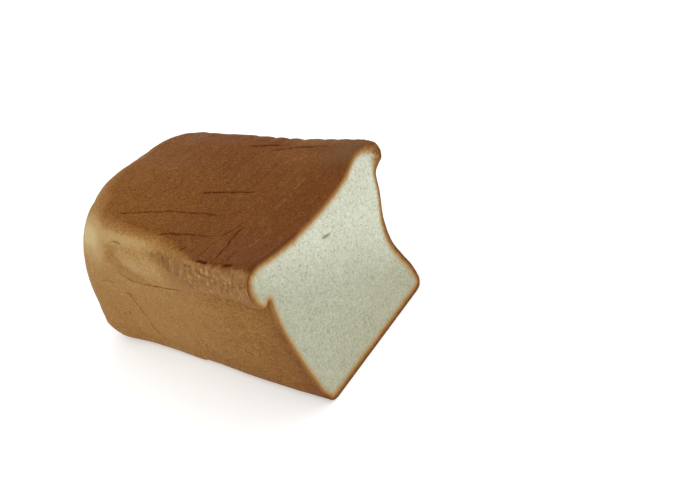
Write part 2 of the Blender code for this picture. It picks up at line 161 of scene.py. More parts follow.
# Pores of the crumb that stand out, as (y, height, half length, half width, slant in degrees).
PORES = (
    (-0.8, 80.2, 3.9, 1.0, -13.0),
    (-3.0, 17.5, 1.3, 0.9, 60.0),
    (-39.0, 52.0, 1.2, 0.9, 20.0),
    (-31.0, 36.0, 1.3, 1.0, 75.0),
    (-9.0, 33.0, 1.2, 0.9, 10.0),
    (18.0, 34.0, 1.5, 1.0, 50.0),
    (30.0, 70.0, 1.2, 0.8, 70.0),
    (-48.0, 90.0, 1.2, 0.9, 30.0),
)
PORE_DEPTH = 1.6
PORE_FULL_LENGTH = 2.8

# Creases and cracks of the crown, as (line in x and y, width, depth).
CROWN_CREASES = (
    (((-98.9, -5.7), (-93.2, -2.8), (-85.1, -0.6), (-72.8, 2.4), (-59.2, 6)), 1.5, 1.1),
    (((-143.1, -37.1), (-134.9, -35.1), (-118.3, -29.5), (-109.1, -25.7), (-100.4, -23.1), (-90.9, -22.5),
     (-76.6, -19.9), (-67.8, -19)), 1.2, 0.8),
    (((-104.2, -43.4), (-93.8, -40.6), (-86.2, -39.5), (-77, -38.2), (-69.3, -37.6), (-56.8, -36.1)),
     1.0, 0.8),
    (((-56.8, -36.1), (-53, -33.1), (-50.9, -28.3), (-48.9, -20.6)), 0.9, 0.7),
    (((-44.8, -21.1), (-46.1, -27.6), (-45.4, -37.1), (-42.9, -42.5), (-41.7, -53.1), (-41.3, -60.2)),
     1.1, 1.1),
    (((-56.3, -39.3), (-54.8, -44.5), (-55.4, -50.1), (-56.4, -57.1)), 0.9, 0.75),
    (((-33.8, -43.8), (-33, -48.8), (-30.5, -54.6), (-30.1, -57.8)), 0.8, 0.6),
    (((-103.9, 46.6), (-97.1, 48.6), (-87.2, 51.9), (-76.7, 53.7)), 1.6, 1.1),
    (((-84, 46.2), (-72.9, 49.9), (-63.2, 52.5), (-51.3, 53.3), (-38.8, 53.8)), 1.3, 0.8),
    (((-55.5, -57.2), (-50.5, -57.8), (-43.2, -58.3)), 2.2, 1.2),
    (((-44.2, -58.3), (-39.8, -58), (-32.3, -58.6)), 0.9, 0.4),
    (((-31.9, -58.9), (-27.7, -58.8), (-24, -57.5)), 1.9, 1.1),
    (((-71.6, -47.4), (-74.3, -49.2), (-77.6, -50.6)), 1.2, 0.8),
    (((-62.7, -47.6), (-63.8, -50), (-65.3, -52.1)), 1.0, 0.3),
    (((-104.4, -45.9), (-105.7, -49), (-105.7, -52.1)), 0.8, 0.35),
    (((-26, 8), (-23, 30), (-25, 47)), 0.6, 0.2),
)
# Faint creases across the crown, as (x, where they start and end in y, depth).
CROSS_CREASES = (
    (-114, 29, 10, 0.15), (-108, 26, 8, 0.15), (-99.5, 32, -4, 0.22), (-88, 22, 4, 0.12),
    (-75.5, 37, -13, 0.2), (-67.5, 46, 6, 0.3), (-129, -41, -51, 0.2), (-60, 30, 12, 0.12),
    (-77, -22, -33, 0.18), (-69, -24, -33, 0.15), (-33, 34, -20, 0.12), (-150, 30, 5, 0.1),
    (-140, 20, -12, 0.1), (-19, 20, -34, 0.12),
)
CROSS_WIDTH = 0.8
CROSS_BOW = 1.6
CROSS_BOW_END = 0.8
# Pale scuffs across the crown, as (x, where they start and end in y).
CROWN_SCUFFS = ((-127, 7, 0), (-47.8, 39, 9), (-37.8, 25, -19), (-68.3, 46, 36), (-142, 3, -8),
                (-28, -22, -40))
SCUFF_HALF_WIDTH = 0.7
SCUFF_STRENGTH = 0.6
SCUFF_WANDER = 0.5
# Pale flecks of the crown, as (x, y).
CROWN_FLECKS = ((-132.7, -8.4), (-130.7, -9.8), (-133.2, -4.3), (-125.4, -0.5), (-120.6, -1.1),
                (-118.9, -9.7), (-119.4, -12.9), (-118.7, -16.6), (-113.9, -2.9), (-125.2, -23.6),
                (-117.1, -33.7), (-118.7, -19.5))
FLECK_RADIUS = 0.75
# Creases of the walls, as (line in x and height, or y and height at the far end, width, depth).
FRONT_CREASES = (
    (((-139, 74.7), (-136.2, 68.8), (-131.2, 66.3), (-124.6, 65.1), (-114.7, 64.9), (-107.6, 64.7),
     (-99.2, 65.7), (-80.4, 68.6)), 1.0, 0.55),
    (((-164.4, 57.7), (-156.6, 59.2), (-149, 59.8), (-143.9, 59.3), (-141.5, 56.9)), 0.8, 0.25),
    (((-144.1, 52.7), (-136.8, 52.3), (-135.7, 47.6), (-132.8, 33.6), (-132.9, 24.3), (-128.9, 16),
     (-123.2, 9.6)), 1.0, 0.6),
    (((-139.5, 90), (-134.7, 90.8), (-130.4, 90.7), (-125.3, 89)), 0.9, 0.6),
    (((-85.3, 27.6), (-86.1, 20.8), (-90.2, 11.4)), 1.0, 0.4),
    (((-67.3, 70.2), (-72.6, 62.2), (-76.1, 54.5)), 0.9, 0.12),
    (((-77, 42), (-72, 47), (-68, 53)), 0.9, 0.15),
)
REAR_CREASES = (
    (((-150, 70), (-132, 66), (-110, 67), (-92, 71)), 1.3, 0.45),
    (((-60, 62), (-58, 46), (-63, 25), (-70, 12)), 0.9, 0.35),
    (((-28, 40), (-36, 30), (-40, 14)), 0.9, 0.25),
)
END_CREASES = (
    (((-30, 66), (-8, 62), (14, 63), (30, 68)), 1.2, 0.4),
    (((22, 50), (25, 34), (20, 14)), 0.9, 0.3),
)
CREASE_WANDER = 0.6
CREASE_WAVE = 5.0
# A crease tapers towards its ends over this length, or over this share of its own, by this power.
CREASE_TAPER = 6.0
CREASE_TAPER_SHARE = 0.22
CREASE_TAPER_CURVE = 0.6
CREASE_WIDTH_CHANGE = 0.5
CREASE_LEAST_HALF = 1e-3
# The skin beside it stands up: by this share of its depth, this far out and this widely, in half widths.
CREASE_LIP = 0.12
CREASE_LIP_AT = 1.9
CREASE_LIP_REACH = 0.8
# How much painted shade it gets, as a start and what its depth or the change adds, and how far that painted
# shade reaches.
CREASE_SHADE, CREASE_SHADE_WITH_DEPTH = 0.25, 0.6
CREASE_SHOWN, CREASE_SHOWN_CHANGE, CREASE_LEAST_SHOWN = 0.95, 0.8, 0.3
CREASE_SHADE_WIDTH, CREASE_SHADE_BLUR = 0.92, 0.15
# Each side of the loaf, as the axis that it faces and the span over which it begins.
SIDE_SPANS = {"crown": (Z, (84.0, 90.0)), "front": (Y, (-44.0, -49.0)), "rear": (Y, (40.0, 45.0)),
              "end": (X, (-174.0, -179.0))}
# A side or a lip counts for a point from this share on.
LEAST_SHARE = 0.05
# Little pits of the front wall, as (x, height, radius).
WALL_PITS = ((-154, 31, 1.0), (-149.5, 33, 1.1), (-144.5, 36, 1.2), (-143, 28, 0.8), (-146, 13, 0.9),
             (-160, 44, 0.7))
PIT_FLATNESS = 1.4
PIT_DEPTH = 0.4
# Painted shade in the pits.
PIT_SHADE = 0.9

# The hollow under the far shoulder, as a line in x and height, where painted reddish shade darkens the wall and
# hides its gold.
HOLLOW_LINE = ((-137, 79.5), (-133, 75), (-129, 71), (-124, 68), (-118, 65.5))
HOLLOW_SHADE_REACH = 5.0
HOLLOW_SHADE = 0.06
HOLLOW_SHADE_HIDES_GOLD = 0.9

# Where the skin of the front lip is torn, as (x, its lowest height, how far in it reaches).
TORN_EDGES = ((-107.0, 88.0, -50.5), (-96.0, 83.5, -49.0), (-84.0, 83.0, -50.0), (-66.0, 81.5, -55.5),
              (-45.0, 79.0, -58.5), (0.0, 77.0, -60.5))
TORN_STARTS = (-109.0, -101.0)
TORN_SOFTNESS = 3.0
TORN_BOTTOM = 70.0
# The inner edge of the front lip's outer face, as (x, y).
LIP_FACE_EDGE = ((-105.0, -46.0), (-85.0, -49.0), (-60.0, -56.0), (0.0, -59.0))

# The curl of torn skin at the far end of the band, as its middle and half axes in x and height.
CURL_MIDDLE = (-93.0, 87.3)
CURL_AXES = (13.5, 4.2)
CURL_TILT = 0.12
# How far its fibres, its hollow and its raised rim reach, in those half axes.
CURL_REACH = 1.35
CURL_HOLLOW_REACH = 0.75
CURL_RIM_REACH = 0.22

# Strands and slits of the torn lip that stand out, as lines in x and height.
TORN_STRANDS = (
    ((-106.2, 91.3), (-105.8, 89.5), (-104, 87.4)),
    ((-104, 91.1), (-102.9, 89.3), (-101, 87.3)),
    ((-104.1, 91.4), (-99.4, 91.9), (-94.4, 91.8), (-87.7, 91.7)),
    ((-100.5, 90.6), (-94.8, 91), (-90.1, 90.6)),
    ((-87, 91.5), (-83.5, 90.2), (-80.4, 89), (-77.4, 87.4)),
    ((-83.2, 91.7), (-79.4, 90.8), (-74.3, 89.9)),
    ((-63.2, 94.6), (-61.4, 93.2), (-60.4, 89.8)),
    ((-60.9, 95.6), (-57.5, 94.6), (-57.3, 90.7), (-56.5, 87.9)),
    ((-55.6, 94), (-56.7, 91), (-56.5, 87.9), (-53.5, 88.2)),
    ((-51.4, 94.9), (-48, 94.6), (-46.2, 94), (-47.5, 92.6), (-51.4, 91.9)),
    ((-64.5, 95.8), (-58.2, 97.5), (-53.8, 97.7)),
    ((-47.5, 97.4), (-45.2, 96.6)),
    ((-43.1, 99.5), (-41.9, 98), (-40.2, 96.4)),
    ((-40.1, 98.9), (-36.6, 97.8), (-33.9, 96.1), (-32, 94.2)),
    ((-35.9, 99.8), (-32.2, 98.9), (-28.4, 97.7), (-25.8, 96.3)),
    ((-29, 94), (-25, 95.8), (-21.6, 96)),
    ((-25.4, 92.3), (-25.8, 89.3), (-26.1, 84.8)),
    ((-22, 92.8), (-20.6, 90), (-19.4, 86.6)),
    ((-32.8, 87.2), (-34.8, 83.2), (-36.2, 80)),
    ((-14, 94.5), (-12.6, 89.9), (-14.1, 84.7)),
    ((-57, 85.8), (-51.6, 83.4), (-46.2, 81.6), (-39.2, 79.6), (-29.2, 78), (-17.2, 77)),
    ((-42.2, 91.4), (-42.5, 86.2), (-42, 83.6)),
    ((-37.8, 93.4), (-35.5, 90.4), (-34.7, 86.7)),
)
TORN_SLITS = (
    ((-106.2, 90.3), (-104.9, 87.8), (-101.5, 85.7), (-95.6, 84.2), (-89.7, 83.7), (-80.9, 84.8)),
    ((-74.9, 87.1), (-66.5, 89), (-60.3, 88.4), (-57.7, 86)),
    ((-51.4, 96.3), (-46.4, 95.4), (-40, 95.4), (-37, 93.6), (-33.9, 92.4)),
    ((-63.2, 95.3), (-57.2, 96.7), (-53.3, 96.9)),
    ((-32.1, 88.3), (-30.6, 91.5), (-26.4, 94.2), (-23.1, 94.2)),
    ((-26.8, 91.2), (-29.1, 84.8), (-29.6, 80.4)),
    ((-21.4, 94.2), (-13.6, 96.7), (-7.9, 98.5)),
    ((-18.8, 93.4), (-18, 87.8), (-17.6, 83.6)),
    ((-73.8, 92.5), (-69.8, 91.7), (-71.3, 89.3)),
    ((-94.4, 90.2), (-92.2, 88), (-90.1, 86.3)),
    ((-89.8, 90.1), (-87.6, 88.2), (-84, 86.8)),
)
STRAND_RISE = 0.2
STRAND_HALF = 0.55
SLIT_DEPTH = 0.7
SLIT_HALF = 0.6
TORN_WANDER = 0.35
TORN_WAVE = 3.5
TORN_SHOWN, TORN_SHOWN_CHANGE, TORN_LEAST_SHOWN = 0.75, 0.8, 0.2
# Painted shade in the slits of the torn lip.
SLIT_SHADE = 0.55

# How the fibres lie: how much they go up the profile and how much along x, how much closer together they
# are across than along, how they bend, and where and how far they turn upright towards the cut.
FIBRE_SLANT = (0.85, 0.55)
FIBRE_STRETCH_SLANTED, FIBRE_STRETCH_UPRIGHT = 0.16, 0.18
FIBRE_BEND, FIBRE_BEND_WAVE, FIBRE_BEND_UPRIGHT = 3.0, 8.0, 0.4
FIBRES_TURN = (-80.0, -30.0)
FIBRES_TURNED = 0.5
# What the relief of the torn skin is made of, and what its colour takes from it.
FIBRE_STRANDS, FIBRE_ROUGH, FIBRE_CURL_RIM, FIBRE_CURL_HOLLOW = 0.6, 0.8, 0.5, 0.4
FIBRE_TONE, FIBRE_TONE_RELIEF, FIBRE_TONE_STRAND = 0.50, 0.32, 0.17

# Noises of the surface, added up, as (amount, wavelength, seed).
FIBRE_WAVES = ((1.44, 2.9, 3.0), (0.96, 1.5, 9.0))
FIBRE_ROUGH_WAVES = ((1.0, 2.4, 33.0), (0.6, 1.2, 39.0))
TORN_RAGGED = ((1.3, 4.0, 19.0), (0.8, 1.8, 27.0))
SKIN_WAVES = ((0.14, 5.0, 17.0), (0.08, 2.2, 29.0))
CRUMBLY_WAVES = ((1.3, 3.1, 51.0), (0.9, 1.7, 57.0))
TIP_WAVES = ((1.6, 2.2, 63.0), (0.8, 1.1, 69.0))
BAKE_WANDER = ((3.0, 22.0, 71.0), (1.5, 8.0, 77.0))
CRUMB_SWELL = ((0.22, 7.0, 3.0), (0.14, 2.4, 8.0))
BUBBLE_HEIGHT, BUBBLE_WAVE, BUBBLE_SEED = 0.2, 4.5, 41.0
CRUMBLY_RISE = 0.2

# Where things are, as (axis, (where it begins, where it is whole)) for each axis. A span may run downwards.
CRUMBLY_AT = ((X, (-34.0, -14.0)), (Y, (50.0, 56.0)), (Z, (80.0, 86.0)))
LOW_TORN_AT = ((X, (-62.0, -45.0)), (Z, (90.0, 85.0)))
REAR_RAISED_AT = ((Y, (58.0, 62.0)), (X, (-85.0, -60.0)))
# How much lighter the torn skin is low down.
TORN_LOW = 0.07
# The same for one axis alone: the height where the relief and the painted shade by the rear lip begin, and y on
# the front side.
RELIEF_STARTS = (0.0, 8.0)
REAR_LIP_SHADE_STARTS = (90.0, 95.0)
FRONT_SIDE = (-30.0, -50.0)

# Patches, as the amount at the middle, then (axis, middle, reach) for each axis that bounds one. A fourth
# number is the power by which it falls away, where that is sharper than 2.
TORN_PALE_LOBE = (0.14, (X, -32.0, 31.0, 4), (Z, 94.0, 5.5))
# Painted shade inside the curl of torn skin.
TORN_CURL_SHADE = (0.05, (X, -91.0, 9.0, 4), (Z, 88.0, 2.6))
# Painted shade, dull and greyish, by the rear lip's tip and along the rear lip.
REAR_LIP_TIP_SHADE = (1.0, (X, -24.0, 18.0), (Y, 49.0, 11.0))
REAR_LIP_SHADE = (0.8, (X, -48.0, 20.0, 4), (Y, 56.0, 4.5))
PALE_SHOULDER = (0.47, (X, -164.0, 20.0), (Z, 89.0, 14.0))
PALE_STREAK = (0.18, (X, -113.0, 27.0, 4), (Z, 81.0, 12.0))
PALE_STRIP = (0.25, (X, -135.0, 38.0, 4), (Z, 92.0, 5.0))
PALE_WALL_BAND = (0.05, (Z, 62.0, 14.0))
GOLD_END = (0.30, (Y, -42.0, 46.0), (Z, 84.0, 17.0))
GOLD_REAR = (0.24, (X, -150.0, 42.0), (Z, 78.0, 11.0))
LIGHT_ON_CROWN = (0.05, (X, -120.0, 30.0), (Y, -30.0, 14.0))
# Painted light on the crown beside the rear lip.
PAINTED_LIGHT_BY_REAR_LIP = (0.10, (X, -55.0, 22.0), (Y, 43.0, 8.0))
LIGHT_FAR_CROWN = (0.03, (X, -148.0, 18.0), (Y, -14.0, 20.0))
LIGHT_REAR_LINE = (0.20, (Y, 58.5, 3.5))
RIM_WIDE_FRONT = (3.2, (FACE_Y, -68.0, 7.0), (FACE_Z, 89.0, 9.0))
RIM_FOLD = (0.62, (FACE_Y, -60.5, 5.0), (FACE_Z, 80.5, 4.5))
REAR_TIP = (1.0, (FACE_Y, 61.5, 9.0), (FACE_Z, 95.5, 8.0))
CRUMB_SHADE_FRONT = (0.9, (FACE_Y, -62.0, 9.0))

# The dark crown's front edge, as (x, y, how softly it starts), and its far edge, as (y, x).
CROWN_EDGE = ((-170.0, -33.0, 15.0), (-150.0, -41.5, 12.0), (-120.0, -44.5, 9.5), (-100.0, -44.5, 9.0),
              (-85.0, -46.5, 8.5), (-70.0, -53.0, 6.0), (-55.0, -60.0, 4.0), (0.0, -61.5, 3.0))
CROWN_EDGE_WANDER = 0.4
CROWN_END = ((-45.0, -154.0), (-30.0, -161.0), (-10.0, -167.0), (10.0, -173.0), (30.0, -181.0))
CROWN_END_SOFTNESS = 15.0
CROWN_END_FOOT, CROWN_END_RISE = 74.0, 14.0
CROWN_REAR_FOOT, CROWN_REAR_RISE, CROWN_REAR_RAISED = 83.0, 8.0, 9.0
# How dark the crown is baked, as (x, bake).
CROWN_BAKE = ((-165.0, 0.72), (-140.0, 0.76), (-110.0, 0.79), (-60.0, 0.85), (-20.0, 0.93))
CROWN_MOTTLE, CROWN_MOTTLE_WAVE, CROWN_MOTTLE_SEED = 0.03, 26.0, 33.0
CROWN_DARK_REAR = 0.06
CROWN_DARK_REAR_AT = ((Y, (5.0, 35.0)), (X, (-60.0, -100.0)))
REAR_LINE_AT = (-78.0, -62.0)
AMBER_ENDS = (-84.0, -104.0)
AMBER_STARTS = (80.0, 88.0)
# How dark the walls are baked: everywhere, towards the slice, towards the base and beside the slice.
WALL_BAKE = 0.43
WALL_DARKENS, WALL_DARKENS_FROM, WALL_DARKENS_OVER, WALL_DARKENS_CURVE = 0.21, -120.0, 115.0, 1.4
WALL_BASE_DARKENS, WALL_BASE_SPAN = 0.07, (26.0, 4.0)
WALL_MOTTLE, WALL_MOTTLE_WAVE, WALL_MOTTLE_SEED = 0.02, 30.0, 83.0
GOLD_END_AT = (-168.0, -178.0)
GOLD_REAR_AT = (25.0, 45.0)
END_DARKENS = 0.05
END_DARKENS_AT = ((X, (-172.0, -180.0)), (Z, (40.0, 10.0)))
BY_SLICE_DARKENS, BY_SLICE_REACH, BY_SLICE_SPAN = 0.13, 9.0, (72.0, 58.0)
CRUMBLY_DARKENS = 0.12
BAKE_MOST = 1.1
# The line right beside the slice, as (how dark the rim is there, what that adds), and its reach.
BRIM = ((0.0, -0.12), (0.4, -0.12), (1.0, 0.36))
BRIM_REACH = 1.7

# Where the base's front edge steps in: it bulges this far between these spans of x, on the front side
# (y), and gives way over these heights.
EDGE_BULGE = 0.9
EDGE_BULGE_RISES = (-126.0, -102.0)
EDGE_BULGE_DROPS = (-99.5, -97.0)
EDGE_BULGE_SIDE = (-45.0, -47.0)
EDGE_BULGE_ENDS = (2.0, 7.0)
# How far the fine relief lies inside the plain form, so that it keeps to its box.
SKIN_INSET = 0.15

# Numbers of stations and of points on each profile of the fine skin.
SIDE_STATIONS = 186
CORNER_STATIONS = 18
END_STATIONS = 60
WALL_STEPS = (1, 3, 8, 8, 9, 9, 9, 8, 5, 5, 6)
CROWN_STEPS = 68
CROWN_CROWDING = 1.25
BASE_STEPS = 10
# The mesh is cut finer this near a crease's edge or a torn line, from this share of torn skin on, and this
# far behind the sliced face.
CREASE_REACH = 1.3
TORN_REACH = 1.0
FINE_TORN_SHARE = 0.02
FINE_BEHIND_SLICE = 1.6
SHARP_FROM = math.radians(62.0)

# The rim of the crust on the sliced face, and the slab of crumb that fills it.
RIM_WIDTH = 1.1
RIM_STEPS = 3
RIM_PROUD = 0.25
RIM_TURN = 0.75 * math.pi
SLAB_DEPTH = 5.0
BACK_SHORT = 0.4
TIP_REACH = 6.0
# How far in the baking shows, and where it shows more or less, as (amount, where).
RIM_BAKED = 5.2
RIM_BAKED_CHANGES = (
    (0.2, ((FACE_Z, (8.0, 2.0)),)),
    (-0.6, ((FACE_Z, (96.0, 88.0)), (FACE_Y, (-40.0, -50.0)), (FACE_Z, (8.0, 14.0)))),
    (-1.9, ((FACE_Y, (30.0, 40.0)), (FACE_Z, (52.0, 64.0)), (FACE_Z, (93.0, 86.0)))),
)
RIM_WIDE_TIP = 2.6
# Where the rim's outer line is lighter or darker, and by how much. Low at the rear its extra darkness is partly
# painted shade.
EDGE_FRONT = ((FACE_Y, (-40.0, -46.0)), (FACE_Z, (6.0, 12.0)), (FACE_Z, (95.0, 83.0)))
EDGE_MIDDLE = ((FACE_Y, (-28.0, -12.0)), (FACE_Y, (58.0, 46.0)), (FACE_Z, (84.0, 90.0)))
EDGE_REAR = ((FACE_Y, (40.0, 46.0)), (FACE_Z, (40.0, 54.0)), (FACE_Z, (92.0, 84.0)))
EDGE_BASE = ((FACE_Z, (14.0, 6.0)),)
EDGE_SHADED_LOW_REAR = ((FACE_Y, (20.0, 30.0)), (FACE_Z, (48.0, 30.0)))
EDGE_MIDDLE_LESS, EDGE_REAR_LESS, EDGE_LOW_MORE = 0.6, 0.25, 0.35

# The crumb's mesh: the distance between its points, how unevenly they lie, and how far from its edge.
CRUMB_SPACING = 0.43
CRUMB_JITTER = 0.3
CRUMB_CLEAR_OF_RING = 0.45
# Its relief: how far it lies back, over what distance from its edge, and how shallow its cells are there.
CRUMB_INSET = 0.25
CRUMB_EDGE = (0.0, 1.4)
RIM_AIRY = 0.25
RIM_AIRY_ENDS = (0.3, 1.0)
# Its cells: their least radius, how much larger some are, how long and turned they are, and how deep.
CELL_RADIUS, CELL_RADIUS_MORE, CELL_RADIUS_CURVE = 0.26, 0.50, 4.0
CELL_STRETCH = 0.9
CELL_TURN = 1.2
CELL_DEEPER = 1.15
# Painted light: its light part grows brighter upwards and towards the rear. Painted shade darkens its low part.
PAINTED_LIGHT_WAY = np.array([1.0 / 80.0, 1.0 / 45.0])
PAINTED_LIGHT_FROM, PAINTED_LIGHT_OVER = 0.875, 1.1
CRUMB_LOW_SHADE = (42.0, 10.0)


def eased(t):
    """0 to 1, starting and ending gently."""
    t = np.clip(t, 0.0, 1.0)
    return t * t * (3.0 - 2.0 * t)


def between(x, span):
    """How far x has come through a span, eased."""
    return eased((x - span[0]) / (span[1] - span[0]))


def mixed(a, b, amount):
    return a + (b - a) * amount


def within(points, spans):
    """How far each point has come through all the spans, (axis, span), together."""
    return math.prod(between(points[..., axis], span) for axis, span in spans)


def patch(points, amount_and_axes):
    """The amount at the patch's middle, and less and less away from it."""
    amount, *axes = amount_and_axes
    fall = 0.0
    for axis, middle, reach, *power in axes:
        fall = fall + ((points[..., axis] - middle) / reach) ** (power[0] if power else 2)
    return amount * np.exp(-fall)


def follow(x, stops, column=1):
    """The value in a column of the stops, (x, value, ...), between the two stops nearest to x."""
    return np.interp(x, [stop[0] for stop in stops], [stop[column] for stop in stops])


def plain_wall(foot, low, middle, top, middle_height, top_height):
    """Profile of a wall without a lip, with as many points as the ones that have it."""
    keys = [(-BASE_EDGE, 0.0), (foot - WALL_FOOT_HEIGHT + WALL_TOE_HEIGHT, WALL_TOE_HEIGHT),
            (foot, WALL_FOOT_HEIGHT), (low, WALL_LOW_HEIGHT),
            ((low + middle) / 2.0, (WALL_LOW_HEIGHT + middle_height) / 2.0), (middle, middle_height)]
    for share in WALL_UPPER_SHARES:
        keys.append((mixed(middle, top, share**WALL_UPPER_CURVE), mixed(middle_height, top_height, share)))
    return np.array(keys)


def smooth_curve(keys, steps):
    """Catmull-Rom curves through rows of keys, (station, key, 2), that end going straight up."""
    before = 2.0 * keys[:, :1] - keys[:, 1:2]
    after = keys[:, -1:] + np.array([0.0, WALL_TOP_LEAD])
    keys = np.concatenate([before, keys, after], axis=1)
    points = []
    for i, count in enumerate(steps, start=1):
        a, b, c, d = (keys[:, i + k] for k in (-1, 0, 1, 2))
        ab, bc, cd = (np.sqrt(np.linalg.norm(q - p, axis=1))[:, None] for p, q in ((a, b), (b, c), (c, d)))
        leave = c - b + bc * ((b - a) / ab - (c - a) / (ab + bc))
        arrive = c - b + bc * ((d - c) / cd - (d - b) / (bc + cd))
        for t in np.arange(count) / count:
            points.append((2 * t**3 - 3 * t**2 + 1) * b + (t**3 - 2 * t**2 + t) * leave
                          + (3 * t**2 - 2 * t**3) * c + (t**3 - t**2) * arrive)
    points.append(keys[:, -2])
    return np.stack(points, axis=1)


def outline():
    """Stations round the base: their places and the ways out, from the cut round the far end to the cut."""
    half, radius = BASE_HALF_WIDTH, BASE_CORNER_RADIUS
    straight = BASE_LENGTH - radius
    places, ways = [], []
    for t in np.arange(SIDE_STATIONS) / SIDE_STATIONS:
        places.append((-t * straight, -half))
        ways.append((0.0, -1.0))
    for angle in np.arange(CORNER_STATIONS) / CORNER_STATIONS * math.pi / 2:
        ways.append((-math.sin(angle), -math.cos(angle)))
        places.append((-straight + radius * ways[-1][0], -half + radius + radius * ways[-1][1]))
    for t in np.arange(END_STATIONS // 2) / (END_STATIONS // 2):
        places.append((-BASE_LENGTH, (radius - half) * (1.0 - t)))
        ways.append((-1.0, 0.0))
    places.append((-BASE_LENGTH, 0.0))
    ways.append((-1.0, 0.0))
    mirrored = [((x, -y), (u, -v)) for (x, y), (u, v) in zip(places[-2::-1], ways[-2::-1])]
    places += [place for place, _ in mirrored]
    ways += [way for _, way in mirrored]
    return np.array(places), np.array(ways)


def profiles(places, ways, rear):
    """The wall's profile at each station, and how far in its crown takes to round over."""
    x = places[:, 0]
    turn = np.arcsin(np.clip(-ways[:, 0], 0.0, 1.0))
    from_corner = (BASE_CORNER_RADIUS * np.abs(turn - math.pi / 4)
                   + np.where(turn > 0.0, 0.0, x + BASE_LENGTH - BASE_CORNER_RADIUS)
                   + np.clip(BASE_HALF_WIDTH - BASE_CORNER_RADIUS - np.abs(places[:, 1]), 0.0, None))
    corner = 0.5 + 0.5 * np.cos(math.pi * np.clip(from_corner / CORNER_REACH, 0.0, 1.0))
    end = eased(turn / (math.pi / 2))
    lip = between(x, FRONT_LIP_RISES)
    opened = between(x, FRONT_LIP_OPENS)
    rear_lip = between(x, REAR_LIP_OPENS)

    def spread(amount):
        return amount[:, None, None]

    front_keys = mixed(mixed(plain_wall(*FRONT_FAR), np.array(FRONT_LIP), spread(lip)),
                       np.array(FRONT_CUT), spread(opened))
    rear_keys = mixed(plain_wall(*REAR_FAR), np.array(REAR_CUT), spread(rear_lip))
    keys = np.where(spread(rear), rear_keys, front_keys)
    keys = mixed(keys, plain_wall(*END), spread(end))
    corner_keys = np.where(spread(rear), plain_wall(*REAR_CORNER), plain_wall(*FRONT_CORNER))
    keys = mixed(keys, corner_keys, spread(corner))

    rounding = np.where(rear, mixed(ROUND_REAR, ROUND_CUT, rear_lip), mixed(ROUND_FRONT, ROUND_CUT, lip))
    rounding = mixed(rounding, ROUND_END, end)
    rounding = mixed(rounding, np.where(rear, ROUND_REAR_CORNER, ROUND_FRONT_CORNER), corner)
    return smooth_curve(keys, WALL_STEPS), rounding


def crown_height(x, y):
    """Height of the crown over a point, away from where it rounds over to the walls."""
    risen = between(x, (CROWN_FAR_X, CROWN_MID_X))
    opened = between(x, (CROWN_MID_X, 0.0)) ** LATE_RISE
    shoulder = mixed(mixed(SHOULDER_FAR, SHOULDER_MID, risen), SHOULDER_CUT, opened)
    dome = mixed(mixed(DOME_FAR, DOME_MID, risen), DOME_CUT, opened)
    hollow = np.exp(-((x - REAR_HOLLOW_CENTRE[0]) / REAR_HOLLOW_SPREAD[0]) ** 2
                    - ((y - REAR_HOLLOW_CENTRE[1]) / REAR_HOLLOW_SPREAD[1]) ** 2)
    across = np.clip(np.abs(y) / SHOULDER_HALF_SPAN, 0.0, 1.0)
    return shoulder + dome * (1.0 - across**2) - REAR_HOLLOW * hollow


def leaned(points):
    """The points with the cut leaned and skewed, less and less towards the far end."""
    near_cut = np.clip(1.0 + points[..., 0] / (BASE_LENGTH - BASE_CORNER_RADIUS), 0.0, 1.0) ** 2
    moved = points.copy()
    moved[..., 0] -= near_cut * (CUT_LEAN * points[..., 2] + CUT_SKEW * (points[..., 1] - CUT_PIVOT))
    return moved


def distance_to_line(points, line):
    """Distance of each point from a line of straight pieces."""
    line = np.array(line, float)
    nearest = np.full(points.shape[:-1], np.inf)
    for start, end in zip(line[:-1], line[1:]):
        along = end - start
        t = np.clip((points - start) @ along / (along @ along), 0.0, 1.0)
        nearest = np.minimum(nearest, np.linalg.norm(points - start - t[..., None] * along, axis=-1))
    return nearest


def uneven(points, wavelength, seed=0.0):
    """Smooth noise between -1 and 1 at each point. The wavelength is one number or one for each axis."""
    flat = (points / np.array(wavelength)).reshape(-1, 3) + seed
    return np.array([noise.noise(Vector(p)) for p in flat.tolist()]).reshape(points.shape[:-1])


def waves(points, rows, folded=False):
    """Noises added up, each (amount, wavelength, seed), and folded up into ridges where that is asked for."""
    noises = [(amount, uneven(points, wavelength, seed)) for amount, wavelength, seed in rows]
    return sum(amount * (np.abs(noise_there) if folded else noise_there) for amount, noise_there in noises)


def shifted(points, coordinates, distance, wavelength, seeds):
    """Coordinates shifted unevenly, along each of them by a noise of its own at the points."""
    return coordinates + distance * np.stack([uneven(points, wavelength, seed) for seed in seeds], axis=-1)


def plain_relief(skin):
    """The relief that the solid has too: uneven rise, welts, folds of the torn lip, scallops."""
    x, y, z = skin[..., 0], skin[..., 1], skin[..., 2]
    height = sum(rise * uneven(skin, wavelength) for wavelength, rise in UNEVEN_WAVES)
    for line, reach, rise in WELTS:
        height += rise * np.exp(-(distance_to_line(skin, line) / reach) ** 2)
    wander = FOLD_WANDER * uneven(skin + np.array([0.0, 0.0, 200.0]), 15.0)
    fold = np.sin(2.0 * math.pi * (x + FOLD_SLANT * (z - FOLDS_LOWEST[0]) + wander) / FOLD_SPACING)
    strength = np.clip(FOLD_STRENGTH + FOLD_STRENGTH_CHANGE * uneven(skin, FOLD_FADE_WAVE), FOLD_WEAKEST, 1.0)
    height += FOLD_HEIGHT * fold * strength * torn_band(skin)
    scallop = np.abs(np.sin(math.pi * (x + wander) / SCALLOP_SPACING)) - SCALLOP_MEAN
    along_rear = between(x, SCALLOPS_START) * (1.0 - between(x, SCALLOPS_END))
    height += SCALLOP_HEIGHT * scallop * along_rear * eased((y - SCALLOPS_INNERMOST) / FOLDS_RISE_OVER)
    return height * eased(z / WALL_LOW_HEIGHT)


